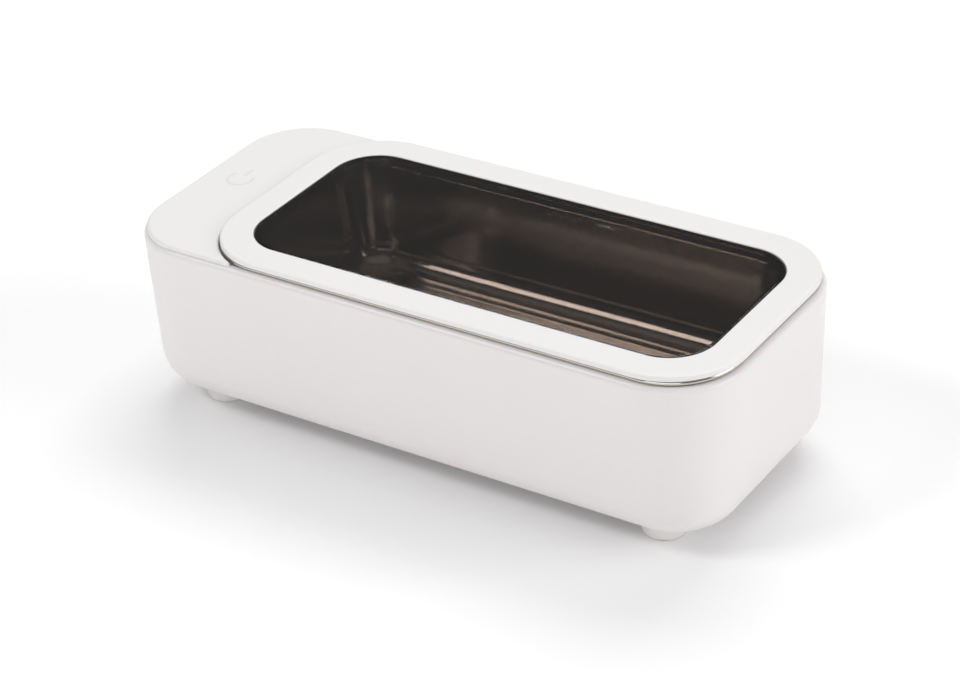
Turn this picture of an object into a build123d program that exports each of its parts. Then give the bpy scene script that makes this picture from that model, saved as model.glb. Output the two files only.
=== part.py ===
"""Ultrasonic bath for small items, with a lift-off lid.

Millimetres.  X runs along the length, from the control deck (-X) to the far end of the tank (+X).
The front faces -Y.  Z is up from the surface that the four feet stand on, below the middle of the housing.
"""
import os
from math import atan, degrees, radians, tan

from build123d import *

# ---- housing ----------------------------------------------------------------------------------
LENGTH = 210.0              # over the top of the tub
WIDTH = 91.6
BODY_BOTTOM = 5.6           # underside of the tub
DRAFT = 1.8                 # how far each wall leans in, from the lip down to the bottom
CORNER_R = 22.7             # upright corners, seen from above
BOTTOM_FILLET = 12.0
WALL = 2.4
LIP_FILLET = 2.0
LEDGE_DROP = 1.3            # the shelf under the tank's flange lies this far below the lip
LEDGE_T = 2.4
BULKHEAD_T = 2.0            # wall between the electronics bay and the tank bay

# ---- lid ---------------------------------------------------------------------------------------
LID_LEFT_GAP = 28.9         # from the tub's left end to the lid ring
RING_INSET_END = 0.6        # ring's right end, inside the tub's outer face
RING_INSET_SIDE = 0.8
RING_R = 24.5
RING_T = 1.5
RING_LIFT = 1.9             # underside of the ring above the lip
RING_TOP_FILLET = 0.8
FRAME_END = 10.2            # width of the ring's face at its ends
FRAME_SIDE = 10.4           # width of the ring's face at front and back
WINDOW_R = 14.8             # corners of the opening in the ring
WINDOW_GAP = 0.2            # between the ring and the window let into it
WINDOW_SUNK = 0.05          # top of the window below the top of the ring
WINDOW_T = 2.2
WINDOW_FILLET = 0.5         # its polished upper edge
SKIRT_DEPTH = 2.5           # the window's skirt, below its flange
SKIRT_T = 1.4
WINDOW_FLANGE = 2.7         # how far the flange reaches under the ring
WINDOW_FLANGE_T = 0.6
PAD_R = 2.4
PAD_POCKET = 0.4
PAD_XS = (-34.0, 14.0, 62.0)

# ---- tank --------------------------------------------------------------------------------------
STEEL = 0.6
TANK_DEPTH = 36.0           # flange to floor
UNDER_TANK = 16.3           # room for the transducer, between the tub's floor and the tank
TANK_DRAFT = 2.8            # each wall leans in by this much over the depth
BASIN_FILLET = 8.0
MOUTH_FILLET = 1.0
TANK_TO_SKIRT = 0.5         # all round, at the mouth
BEAD_T = 1.5                # rolled rim, its section
BEAD_INSET = 1.4            # rolled rim inside the tub's outer face
BEAD_R = 21.9
BEAD_LIFT = 0.3             # rolled rim above the lip
FLANGE_LIFT = 0.1           # flange above the lip
LEVEL_BAR = (9.7, 1.0)
LEVEL_BAR_X = 26.2
MARK_RAISE = 0.35           # how far the pressed marks stand out of the wall
MARK_DROP = 4.6             # middle of the marks below the flange
WAVE_XS = (6.6, 11.0, 15.4)
WAVE_WIDTH = 3.6

# ---- seals and pads ----------------------------------------------------------------------------
GASKET_WIDTH = 4.0
GASKET_FROM_BEAD = 2.2

# ---- control deck ------------------------------------------------------------------------------
DECK_INSET = 1.2            # deck inside the tub's outer face
DECK_T = 1.4
DECK_FILLET = 1.0
DECK_GAP = 0.4              # between the deck and the lid ring
DECK_TIP_FILLET = 0.6
DECK_SKIRT_CLEARANCE = 0.6  # between the skirt and the tub's wall
DECK_SKIRT_T = 1.6
DECK_SKIRT_DEPTH = 4.2
DECK_SKIRT_GAP = 0.5        # between the skirt and the bulkhead
HOOK_WIDTH = 8.0
HOOK_REACH = 0.9
HOOK_HEIGHT = 1.4
HOOK_DROP = 7.6             # underside of the hooks below the deck plate
HOOK_YS = (-13.0, 13.0)
HOOK_CLEARANCE = 0.2

# ---- touch key ---------------------------------------------------------------------------------
KEY_FROM_LEFT = 14.0        # middle of the key, from the tub's left end
KEY_Y = 1.5
ICON_R = 4.6
ICON_LINE = 0.9
ICON_DEPTH = 0.6
ICON_GAP_ANGLE = 70.0       # opening at the top of the ring
ICON_BAR = 4.8
TOUCH_PAD_R = 6.0
TOUCH_PAD_BORE = 2.6

# ---- feet and base -----------------------------------------------------------------------------
FOOT_R = 7.1
FOOT_X = 80.75
FOOT_Y = 27.4
FOOT_POCKET = 3.0           # depth of the pocket that holds each foot
FOOT_FIT = 0.05
FOOT_FILLET = 1.2
BOSS_WALL = 1.9
COVER_LENGTH = 132.0
COVER_WIDTH = 58.0
COVER_R = 6.0
COVER_GAP = 0.3
COVER_SEAT = 4.0            # width of the ledge that the base cover is screwed to
SLOT_LENGTH = 14.0
SLOT_WIDTH = 1.8
SLOT_PITCH = 4.0
SLOT_COUNT = 7
SLOT_GROUP_X = 40.0

# ---- screws ------------------------------------------------------------------------------------
SCREW_R = 1.1
SCREW_HEAD_R = 2.1
SCREW_HEAD_T = 1.4
SCREW_FIT = 0.05
SCREW_RECESS = 0.8          # depth of the cross recess
BASE_SCREW_INSET = 4.6      # from the edge of the base cover
BASE_SCREW_LENGTH = 8.0
BASE_BOSS_R = 3.4
BASE_BOSS_HEIGHT = 9.0

# ---- transducer --------------------------------------------------------------------------------
BLOCK_R = 19.0
BLOCK_T = 8.0
PIEZO_R = 17.5
PIEZO_T = 2.8
ELECTRODE_T = 0.2
ELECTRODE_R = 15.0
EAR_WIDTH = 3.0
EAR_REACH = 21.0            # from the middle of the transducer to the end of each ear
EAR_Y = 4.0

# ---- driver board, upright on the bulkhead -------------------------------------------------------
BOARD_T = 1.6
BOARD_STANDOFF = 4.0
BOARD_Y = (-34.0, 28.0)
BOARD_Z = (14.0, 48.0)
BOARD_HOLE_INSET = 3.4
STANDOFF_R = 2.8
CORE_SIZE = (6.0, 20.0, 16.0)
CORE_LEG = 5.0
CORE_YOKE = 3.0
CORE_OFF_BOARD = 4.6
CORE_AT = (-16.0, 39.5)     # Y and Z of the middle, as for the parts below
BOBBIN_WALL = 0.6
COIL_T = 2.6
CHOKE_AT = (-0.5, 38.0)
CHOKE_R = 4.5
CHOKE_HEIGHT = 9.0
CHOKE_FLANGE = 1.4
CHOKE_CORE_R = 2.2
BULK_AT = (11.0, 38.0)
BULK_R = 5.0
BULK_HEIGHT = 13.0
FILM_AT = (23.0, 31.0)
FILM_SIZE = (8.5, 5.0, 13.0)
SINK_AT = (-17.0, 24.0)
SINK_SIZE = (13.0, 14.0, 2.0)
FIN_HEIGHT = 4.5
FIN_T = 1.0
FIN_COUNT = 4
MOSFET_SIZE = (9.0, 10.0, 4.4)
MOSFET_LEG_R = 0.4
MOSFET_LEG_PITCH = 2.5
SOCKET_SIZE = (6.5, 8.0, 5.5)
TRANSDUCER_SOCKET_AT = (-3.0, 18.0)
POWER_SOCKET_AT = (14.0, 18.0)
SIGNAL_SOCKET_AT = (0.0, 46.0)
SIGNAL_SOCKET_SIZE = (5.0, 9.0, 4.4)

# ---- control board, under the deck ---------------------------------------------------------------
CONTROL_SIZE = (18.0, 44.0)
CONTROL_CLEARANCE = 0.4     # between the board and the deck's skirt
CONTROL_STANDOFF = 5.6
CONTROL_BOSS_R = 2.6
CONTROL_HOLE_INSET = 2.6
CHIP_SIZE = (5.0, 6.2, 1.2)
CHIP_DY = 13.0
BUZZER_R = 4.5
BUZZER_T = 3.4
BUZZER_DY = -15.0
LED_SIZE = (2.2, 2.2, 1.0)

# ---- power inlet, in the left end wall -----------------------------------------------------------
JACK_Z = 24.0
JACK_FLANGE_R = 5.8
JACK_FLANGE_T = 1.0
JACK_R = 3.9
JACK_FIT = 0.05
JACK_BORE_R = 2.75
JACK_PIN_R = 1.0
JACK_LENGTH = 11.0
JACK_BORE_DEPTH = 9.6
JACK_SEAT = 0.6             # depth of the flat seat let into the wall
JACK_PAD_R = 7.4
JACK_PAD_T = 0.8
NUT_FLATS = 10.0
NUT_T = 2.2
LUG_Y = 2.2
LUG_SIZE = (2.4, 1.4, 0.4)

# ---- leads --------------------------------------------------------------------------------------
LEAD_R = 0.6
RIBBON_T = 0.9
RIBBON_WIDTH = 7.6
LEAD_BEND = 0.45            # share of the shorter run that a bend takes up

# ---- worked-out sizes ----------------------------------------------------------------------------
HALF_LENGTH = LENGTH / 2
HALF_WIDTH = WIDTH / 2
LEFT_END = -HALF_LENGTH
FLOOR_TOP = BODY_BOTTOM + WALL
COVER_LEDGE_TOP = FLOOR_TOP + WALL
LIP_TOP = FLOOR_TOP + UNDER_TANK + TANK_DEPTH - FLANGE_LIFT    # top of the tub's wall
BODY_HEIGHT = LIP_TOP - BODY_BOTTOM
DRAFT_ANGLE = degrees(atan(DRAFT / BODY_HEIGHT))
LEDGE_TOP = LIP_TOP - LEDGE_DROP

RING_BOTTOM = LIP_TOP + RING_LIFT
RING_TOP = RING_BOTTOM + RING_T
RING_X = (LEFT_END + LID_LEFT_GAP, HALF_LENGTH - RING_INSET_END)
RING_Y = HALF_WIDTH - RING_INSET_SIDE
WINDOW_X = (RING_X[0] + FRAME_END, RING_X[1] - FRAME_END)
WINDOW_Y = RING_Y - FRAME_SIDE
WINDOW_TOP = RING_TOP - WINDOW_SUNK
WINDOW_FLANGE_BOTTOM = RING_BOTTOM - WINDOW_FLANGE_T
SKIRT_BOTTOM = WINDOW_FLANGE_BOTTOM - SKIRT_DEPTH
SKIRT_INSET = 0.66          # skirt's outer face inside the opening in the ring

BEAD_BOTTOM = LIP_TOP + BEAD_LIFT
FLANGE_BOTTOM = LIP_TOP + FLANGE_LIFT
FLANGE_TOP = FLANGE_BOTTOM + STEEL
TANK_FLOOR = FLANGE_TOP - TANK_DEPTH
TANK_DRAFT_ANGLE = degrees(atan(TANK_DRAFT / TANK_DEPTH))
MOUTH_GROW = TANK_TO_SKIRT - SKIRT_INSET    # mouth outside the opening in the ring
BEAD_X = (RING_X[0] + RING_INSET_SIDE, HALF_LENGTH - BEAD_INSET)
BEAD_Y = HALF_WIDTH - BEAD_INSET
MARK_Z = FLANGE_TOP - MARK_DROP
MARK_WALL_Y = WINDOW_Y + MOUTH_GROW - MARK_DROP * TANK_DRAFT / TANK_DEPTH

DECK_BOTTOM = LIP_TOP
DECK_TOP = DECK_BOTTOM + DECK_T
KEY_X = LEFT_END + KEY_FROM_LEFT
BULKHEAD_X = RING_X[0] - DECK_GAP - 0.8     # its face towards the electronics bay
DECK_SKIRT_FROM_EDGE = WALL + DECK_SKIRT_CLEARANCE
DECK_SKIRT_RIGHT = BULKHEAD_X - DECK_SKIRT_GAP

TRANSDUCER_X = (WINDOW_X[0] + WINDOW_X[1]) / 2
BLOCK_TOP = TANK_FLOOR - STEEL
BLOCK_BOTTOM = BLOCK_TOP - BLOCK_T
PIEZO_TOP = BLOCK_BOTTOM - ELECTRODE_T
PIEZO_BOTTOM = PIEZO_TOP - PIEZO_T

BOARD_BACK = BULKHEAD_X - BOARD_STANDOFF
BOARD_FACE = BOARD_BACK - BOARD_T
BOARD_HOLES = [
    (y, z)
    for y in (BOARD_Y[0] + BOARD_HOLE_INSET, BOARD_Y[1] - BOARD_HOLE_INSET)
    for z in (BOARD_Z[0] + BOARD_HOLE_INSET, BOARD_Z[1] - BOARD_HOLE_INSET)
]

CONTROL_X = LEFT_END + DECK_SKIRT_FROM_EDGE + DECK_SKIRT_T + CONTROL_CLEARANCE + CONTROL_SIZE[0] / 2
CONTROL_TOP = DECK_BOTTOM - CONTROL_STANDOFF
CONTROL_BOTTOM = CONTROL_TOP - BOARD_T
CONTROL_HOLES = [
    (CONTROL_X + side_x * (CONTROL_SIZE[0] / 2 - CONTROL_HOLE_INSET),
     side_y * (CONTROL_SIZE[1] / 2 - CONTROL_HOLE_INSET))
    for side_x in (-1, 1)
    for side_y in (-1, 1)
]

BASE_SCREWS = [
    (side_x * (COVER_LENGTH / 2 - BASE_SCREW_INSET), side_y * (COVER_WIDTH / 2 - BASE_SCREW_INSET))
    for side_x in (-1, 1)
    for side_y in (-1, 1)
]
FEET = {
    "foot_front_left": (-FOOT_X, -FOOT_Y),
    "foot_front_right": (FOOT_X, -FOOT_Y),
    "foot_rear_left": (-FOOT_X, FOOT_Y),
    "foot_rear_right": (FOOT_X, FOOT_Y),
}


def wall_x(z):
    """X of the outer face of the left end wall at height z."""
    return LEFT_END + DRAFT * (LIP_TOP - z) / BODY_HEIGHT


JACK_FACE = wall_x(JACK_Z) + JACK_SEAT      # flat seat outside
JACK_BACK = wall_x(JACK_Z) + WALL + JACK_PAD_T
JACK_TAIL = JACK_FACE + JACK_LENGTH


# ---- helpers -------------------------------------------------------------------------------------
def plan(x_range, half_width, radius, grow=0.0, mode=Mode.ADD):
    """Rounded rectangle in the open sketch, centred on the X axis and grown by grow all round."""
    with Locations(((x_range[0] + x_range[1]) / 2, 0)):
        RectangleRounded(
            x_range[1] - x_range[0] + 2 * grow, 2 * (half_width + grow), radius + grow, mode=mode
        )


def housing_plan(inset, mode=Mode.ADD):
    """Outline of the tub at its lip, moved in by inset."""
    plan((-HALF_LENGTH, HALF_LENGTH), HALF_WIDTH, CORNER_R, grow=-inset, mode=mode)


def box_on_board(size, at, off_board=0.0):
    """Box in the open part, standing on the driver board; size is its X, Y and Z."""
    with Locations((BOARD_FACE - off_board - size[0] / 2, at[0], at[1])):
        Box(*size)


def board_plane(off_board=0.0):
    """Plane parallel to the driver board, facing away from it; its X axis is the object's Y axis."""
    return Plane(origin=(BOARD_FACE - off_board, 0, 0), x_dir=(0, 1, 0), z_dir=(-1, 0, 0))


def board_point(at):
    """Y and Z of a place on the driver board, as a point of board_plane."""
    return (at[0], -at[1])


def bend_radii(route):
    """One radius for each corner of a route, as large as its two runs leave room for."""
    points = [Vector(*point) for point in route]
    radii = []
    for before, here, after in zip(points, points[1:], points[2:]):
        turn = (here - before).get_angle(after - here)
        shorter = min((here - before).length, (after - here).length)
        radii.append(LEAD_BEND * shorter / tan(radians(turn) / 2))
    return radii


def pan_head_screw(plane, centre, length):
    """Screw in the open part: its head's seat lies in plane and its shank runs along the plane's normal."""
    with BuildSketch(plane) as shank:
        with Locations(centre):
            Circle(SCREW_R)
    extrude(shank.sketch, amount=length)
    with BuildSketch(plane) as head:
        with Locations(centre):
            Circle(SCREW_HEAD_R)
    extrude(head.sketch, amount=-SCREW_HEAD_T)
    with BuildSketch(plane.offset(-SCREW_HEAD_T)) as cross:
        with Locations(centre):
            Rectangle(2.2, 0.6)
            Rectangle(0.6, 2.2)
    extrude(cross.sketch, amount=SCREW_RECESS, mode=Mode.SUBTRACT)


def finish(builder, name):
    """Label a finished piece and write it out."""
    builder.part.label = name
    export_step(builder.part, f"parts/{name}.step")


os.makedirs("parts", exist_ok=True)

# ---- housing: a tub with a shelf for the tank and a bulkhead -----------------------------------
with BuildPart() as tub:
    with BuildSketch(Plane.XY.offset(BODY_BOTTOM)):
        housing_plan(DRAFT)
    extrude(amount=BODY_HEIGHT, taper=-DRAFT_ANGLE)
    fillet(tub.faces().sort_by(Axis.Z)[0].edges(), BOTTOM_FILLET)
    fillet(tub.faces().sort_by(Axis.Z)[-1].edges(), LIP_FILLET)

with BuildPart() as tub_cavity:
    with BuildSketch(Plane.XY.offset(FLOOR_TOP)):
        housing_plan(WALL + DRAFT * (LIP_TOP - FLOOR_TOP) / BODY_HEIGHT)
    extrude(amount=LIP_TOP - FLOOR_TOP + 1, taper=-DRAFT_ANGLE)
    fillet(tub_cavity.faces().sort_by(Axis.Z)[0].edges(), BOTTOM_FILLET - WALL)

with BuildPart() as tub_inner:
    # shelf under the tank's flange
    with BuildSketch(Plane.XY.offset(LEDGE_TOP - LEDGE_T)):
        housing_plan(WALL / 2)
        plan(WINDOW_X, WINDOW_Y, WINDOW_R, grow=STEEL + 2.0, mode=Mode.SUBTRACT)
        with Locations((BULKHEAD_X - HALF_LENGTH, 0)):
            Rectangle(LENGTH, 2 * WIDTH, mode=Mode.SUBTRACT)
    extrude(amount=LEDGE_T)
    # bulkhead
    with BuildSketch(Plane.XY.offset(BODY_BOTTOM)):
        with Locations((BULKHEAD_X + BULKHEAD_T / 2, 0)):
            Rectangle(BULKHEAD_T, WIDTH)
    extrude(amount=LEDGE_TOP - BODY_BOTTOM)
    # standoffs for the driver board
    with BuildSketch(Plane(origin=(BULKHEAD_X, 0, 0), x_dir=(0, 1, 0), z_dir=(-1, 0, 0))):
        with Locations(*[board_point(hole) for hole in BOARD_HOLES]):
            Circle(STANDOFF_R)
    extrude(amount=BOARD_STANDOFF)
    # pockets' walls for the feet
    with BuildSketch(Plane.XY.offset(BODY_BOTTOM)):
        with Locations(*FEET.values()):
            Circle(FOOT_R + BOSS_WALL)
    extrude(amount=FOOT_POCKET + BOSS_WALL)
    # ledge and bosses that the base cover is screwed to
    with BuildSketch(Plane.XY.offset(FLOOR_TOP)):
        RectangleRounded(COVER_LENGTH + 2 * COVER_SEAT, COVER_WIDTH + 2 * COVER_SEAT, COVER_R + COVER_SEAT)
        RectangleRounded(
            COVER_LENGTH - 2 * COVER_SEAT, COVER_WIDTH - 2 * COVER_SEAT, COVER_R / 2, mode=Mode.SUBTRACT
        )
    extrude(amount=WALL)
    with BuildSketch(Plane.XY.offset(FLOOR_TOP)):
        with Locations(*BASE_SCREWS):
            Circle(BASE_BOSS_R)
    extrude(amount=BASE_BOSS_HEIGHT)
    # pad behind the power inlet
    with BuildSketch(Plane(origin=(LEFT_END, 0, JACK_Z), x_dir=(0, 1, 0), z_dir=(1, 0, 0))):
        Circle(JACK_PAD_R)
    extrude(amount=JACK_BACK - LEFT_END)
    add(tub.part, mode=Mode.INTERSECT)

with BuildPart() as housing:
    add(tub.part)
    add(tub_cavity.part, mode=Mode.SUBTRACT)
    add(tub_inner.part)
    # opening for the base cover
    with BuildSketch(Plane.XY.offset(BODY_BOTTOM)):
        RectangleRounded(COVER_LENGTH + 2 * COVER_GAP, COVER_WIDTH + 2 * COVER_GAP, COVER_R + COVER_GAP)
    extrude(amount=WALL, mode=Mode.SUBTRACT)
    with BuildSketch(Plane.XY.offset(BODY_BOTTOM)):
        with Locations(*FEET.values()):
            Circle(FOOT_R + FOOT_FIT)
    extrude(amount=FOOT_POCKET, mode=Mode.SUBTRACT)
    with BuildSketch(Plane.XY.offset(BODY_BOTTOM)):
        with Locations(*BASE_SCREWS):
            Circle(SCREW_R + SCREW_FIT)
    extrude(amount=WALL + BASE_SCREW_LENGTH, mode=Mode.SUBTRACT)
    with BuildSketch(Plane(origin=(BOARD_BACK, 0, 0), x_dir=(0, 1, 0), z_dir=(1, 0, 0))):
        with Locations(*BOARD_HOLES):
            Circle(SCREW_R + SCREW_FIT)
    extrude(amount=BOARD_STANDOFF + BULKHEAD_T / 2, mode=Mode.SUBTRACT)
    # way through the bulkhead for the transducer's leads
    with Locations((BULKHEAD_X + BULKHEAD_T / 2, TRANSDUCER_SOCKET_AT[0], FLOOR_TOP + 3.2)):
        Box(3 * BULKHEAD_T, SOCKET_SIZE[1] + 2, 4.4, mode=Mode.SUBTRACT)
    # windows and pockets for the deck's hooks
    hook_z = DECK_BOTTOM - HOOK_DROP + HOOK_HEIGHT / 2
    hook_wall_x = LEFT_END + DECK_SKIRT_FROM_EDGE
    with Locations(*[(hook_wall_x - HOOK_REACH / 2, y, hook_z) for y in HOOK_YS]):
        Box(
            HOOK_REACH + 2 * HOOK_CLEARANCE,
            HOOK_WIDTH + 2 * HOOK_CLEARANCE,
            HOOK_HEIGHT + 2 * HOOK_CLEARANCE,
            mode=Mode.SUBTRACT,
        )
    with Locations(*[(BULKHEAD_X + BULKHEAD_T / 2, y, hook_z) for y in HOOK_YS]):
        Box(
            2 * BULKHEAD_T,
            HOOK_WIDTH + 2 * HOOK_CLEARANCE,
            HOOK_HEIGHT + 2 * HOOK_CLEARANCE,
            mode=Mode.SUBTRACT,
        )
    # seat and hole for the power inlet
    with BuildSketch(Plane(origin=(LEFT_END - 1, 0, JACK_Z), x_dir=(0, 1, 0), z_dir=(1, 0, 0))):
        Circle(JACK_FLANGE_R + COVER_GAP)
    extrude(amount=JACK_FACE - LEFT_END + 1, mode=Mode.SUBTRACT)
    with BuildSketch(Plane(origin=(LEFT_END, 0, JACK_Z), x_dir=(0, 1, 0), z_dir=(1, 0, 0))):
        Circle(JACK_R + JACK_FIT)
    extrude(amount=JACK_BACK - LEFT_END + 1, mode=Mode.SUBTRACT)
finish(housing, "housing")

# ---- base cover, with vents, and its screws ------------------------------------------------------
with BuildPart() as base_cover:
    with BuildSketch(Plane.XY.offset(BODY_BOTTOM)):
        RectangleRounded(COVER_LENGTH, COVER_WIDTH, COVER_R)
        with Locations(*BASE_SCREWS):
            Circle(SCREW_R + 0.3, mode=Mode.SUBTRACT)
        for side in (-1, 1):
            with Locations((side * SLOT_GROUP_X, 0)):
                with GridLocations(SLOT_PITCH, 1, SLOT_COUNT, 1):
                    SlotOverall(SLOT_LENGTH, SLOT_WIDTH, rotation=90, mode=Mode.SUBTRACT)
    extrude(amount=WALL)
    with BuildSketch(Plane.XY.offset(BODY_BOTTOM)):
        with Locations(*BASE_SCREWS):
            Circle(SCREW_HEAD_R + 0.3)
    extrude(amount=SCREW_HEAD_T + 0.2, mode=Mode.SUBTRACT)
finish(base_cover, "base_cover")

with BuildPart() as base_screws:
    for screw in BASE_SCREWS:
        pan_head_screw(Plane.XY.offset(BODY_BOTTOM + SCREW_HEAD_T + 0.2), screw, BASE_SCREW_LENGTH)
finish(base_screws, "base_screws")

for foot_name, foot_at in FEET.items():
    with BuildPart() as foot:
        with BuildSketch():
            with Locations(foot_at):
                Circle(FOOT_R)
        extrude(amount=BODY_BOTTOM + FOOT_POCKET)
        fillet(foot.faces().sort_by(Axis.Z)[0].edges(), FOOT_FILLET)
    finish(foot, foot_name)

# ---- tank: pressed steel, with a flange and a rolled rim -----------------------------------------
BASIN_GROW_BOTTOM = MOUTH_GROW - TANK_DRAFT

with BuildPart() as basin:
    with BuildSketch(Plane.XY.offset(TANK_FLOOR)):
        plan(WINDOW_X, WINDOW_Y, WINDOW_R, grow=BASIN_GROW_BOTTOM)
    extrude(amount=TANK_DEPTH, taper=-TANK_DRAFT_ANGLE)
    fillet(basin.faces().sort_by(Axis.Z)[0].edges(), BASIN_FILLET)

with BuildPart() as tank:
    with BuildSketch(Plane.XY.offset(TANK_FLOOR - STEEL)):
        plan(WINDOW_X, WINDOW_Y, WINDOW_R, grow=BASIN_GROW_BOTTOM + STEEL * (1 - TANK_DRAFT / TANK_DEPTH))
    extrude(amount=TANK_DEPTH + STEEL, taper=-TANK_DRAFT_ANGLE)
    fillet(tank.faces().sort_by(Axis.Z)[0].edges(), BASIN_FILLET + STEEL)
    with BuildSketch(Plane.XY.offset(FLANGE_BOTTOM)):
        plan(BEAD_X, BEAD_Y, BEAD_R, grow=-BEAD_T / 2)
    extrude(amount=STEEL)
    with BuildSketch(Plane.XY.offset(BEAD_BOTTOM)):
        plan(BEAD_X, BEAD_Y, BEAD_R)
        plan(BEAD_X, BEAD_Y, BEAD_R, grow=-BEAD_T, mode=Mode.SUBTRACT)
    rim = extrude(amount=BEAD_T)
    add(basin.part, mode=Mode.SUBTRACT)
    rim_outer = tank.faces().sort_by(Axis.Z)[-1].outer_wire().edges()
    fillet(rim_outer, BEAD_T * 0.48)
    level_faces = tank.faces().filter_by(Axis.Z)
    flange_face = level_faces.filter_by_position(Axis.Z, FLANGE_TOP - 0.01, FLANGE_TOP + 0.01)[0]
    mouth = flange_face.inner_wires()[0].edges()
    fillet(mouth, MOUTH_FILLET)
    # fill-level bar and three wavelets, pressed into the rear wall
    with BuildSketch(Plane(origin=(0, MARK_WALL_Y - MARK_RAISE, MARK_Z), x_dir=(-1, 0, 0), z_dir=(0, 1, 0))):
        with Locations((-LEVEL_BAR_X, 0)):
            SlotOverall(*LEVEL_BAR)
        for wave_x in WAVE_XS:
            with BuildLine(mode=Mode.PRIVATE) as wave:
                Spline(
                    (-wave_x - WAVE_WIDTH / 2, -0.5),
                    (-wave_x - WAVE_WIDTH / 4, 0.5),
                    (-wave_x, 0.0),
                    (-wave_x + WAVE_WIDTH / 4, -0.5),
                    (-wave_x + WAVE_WIDTH / 2, 0.5),
                )
            trace(wave.edges(), line_width=0.8)
    extrude(amount=MARK_RAISE + STEEL / 2)
finish(tank, "tank")

with BuildPart() as tank_gasket:
    with BuildSketch(Plane.XY.offset(LEDGE_TOP)):
        plan(BEAD_X, BEAD_Y, BEAD_R, grow=-GASKET_FROM_BEAD)
        plan(BEAD_X, BEAD_Y, BEAD_R, grow=-GASKET_FROM_BEAD - GASKET_WIDTH, mode=Mode.SUBTRACT)
    extrude(amount=FLANGE_BOTTOM - LEDGE_TOP)
finish(tank_gasket, "tank_gasket")

# ---- transducer, under the middle of the tank ----------------------------------------------------
with BuildPart() as transducer_block:
    with BuildSketch(Plane.XY.offset(BLOCK_BOTTOM)):
        with Locations((TRANSDUCER_X, 0)):
            Circle(BLOCK_R)
    extrude(amount=BLOCK_T)
    chamfer(transducer_block.faces().sort_by(Axis.Z)[0].edges(), 1.0)
finish(transducer_block, "transducer_block")

with BuildPart() as piezo_disc:
    with BuildSketch(Plane.XY.offset(PIEZO_BOTTOM)):
        with Locations((TRANSDUCER_X, 0)):
            Circle(PIEZO_R)
    extrude(amount=PIEZO_T)
finish(piezo_disc, "piezo_disc")

for electrode_name, electrode_z, ear_y in (
    ("electrode_live", PIEZO_BOTTOM - ELECTRODE_T, -EAR_Y),
    ("electrode_return", PIEZO_TOP, EAR_Y),
):
    with BuildPart() as electrode:
        with BuildSketch(Plane.XY.offset(electrode_z)):
            with Locations((TRANSDUCER_X, 0)):
                Circle(ELECTRODE_R)
            with Locations((TRANSDUCER_X - EAR_REACH / 2, ear_y)):
                Rectangle(EAR_REACH, EAR_WIDTH)
        extrude(amount=ELECTRODE_T)
    finish(electrode, electrode_name)

# ---- control deck --------------------------------------------------------------------------------
with BuildPart() as deck:
    with BuildSketch(Plane.XY.offset(DECK_BOTTOM)) as deck_plan:
        housing_plan(DECK_INSET)
        plan(RING_X, RING_Y, RING_R, grow=DECK_GAP, mode=Mode.SUBTRACT)
        with Locations((HALF_LENGTH, 0)):
            Rectangle(LENGTH, WIDTH, mode=Mode.SUBTRACT)
    extrude(amount=DECK_T)
    tips = deck.edges().filter_by(Axis.Z).sort_by(Axis.X)[-2:]
    fillet(tips, DECK_TIP_FILLET)
    fillet(deck.faces().sort_by(Axis.Z)[-1].edges(), DECK_FILLET)
    # skirt inside the tub's wall
    with BuildSketch(Plane.XY.offset(DECK_BOTTOM - DECK_SKIRT_DEPTH)):
        housing_plan(DECK_SKIRT_FROM_EDGE)
        with Locations((DECK_SKIRT_RIGHT + HALF_LENGTH, 0)):
            Rectangle(LENGTH, WIDTH, mode=Mode.SUBTRACT)
        offset(amount=-DECK_SKIRT_T, mode=Mode.SUBTRACT)
    extrude(amount=DECK_SKIRT_DEPTH)
    # bosses for the control board
    with BuildSketch(Plane.XY.offset(CONTROL_TOP)):
        with Locations(*CONTROL_HOLES):
            Circle(CONTROL_BOSS_R)
    extrude(amount=CONTROL_STANDOFF)
    with BuildSketch(Plane.XY.offset(CONTROL_TOP)):
        with Locations(*CONTROL_HOLES):
            Circle(SCREW_R + SCREW_FIT)
    extrude(amount=CONTROL_STANDOFF, mode=Mode.SUBTRACT)
    # hooks, at the left end and at the bulkhead
    arm_left = LEFT_END + DECK_SKIRT_FROM_EDGE
    for arm_x, way in ((arm_left, 1), (DECK_SKIRT_RIGHT, -1)):
        with Locations(*[(arm_x + way * DECK_SKIRT_T / 2, y, DECK_BOTTOM) for y in HOOK_YS]):
            Box(DECK_SKIRT_T, HOOK_WIDTH, HOOK_DROP, align=(Align.CENTER, Align.CENTER, Align.MAX))
        with Locations(*[(arm_x - way * HOOK_REACH / 2, y, DECK_BOTTOM - HOOK_DROP) for y in HOOK_YS]):
            Box(HOOK_REACH, HOOK_WIDTH, HOOK_HEIGHT, align=(Align.CENTER, Align.CENTER, Align.MIN))
    # recess for the key's icon
    with BuildSketch(Plane.XY.offset(DECK_TOP)) as icon_plan:
        with Locations((KEY_X, KEY_Y)):
            Circle(ICON_R)
            Circle(ICON_R - ICON_LINE, mode=Mode.SUBTRACT)
        with Locations((KEY_X, KEY_Y + ICON_R)):
            Rectangle(2 * ICON_R * tan(radians(ICON_GAP_ANGLE / 2)), ICON_R, mode=Mode.SUBTRACT)
        with Locations((KEY_X, KEY_Y + ICON_R)):
            SlotOverall(ICON_BAR, ICON_LINE, rotation=90)
    extrude(amount=-ICON_DEPTH, mode=Mode.SUBTRACT)
finish(deck, "deck")

with BuildPart() as touch_icon:
    with BuildSketch(Plane.XY.offset(DECK_TOP)):
        add(icon_plan.sketch_local)
    extrude(amount=-ICON_DEPTH)
finish(touch_icon, "touch_icon")

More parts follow.
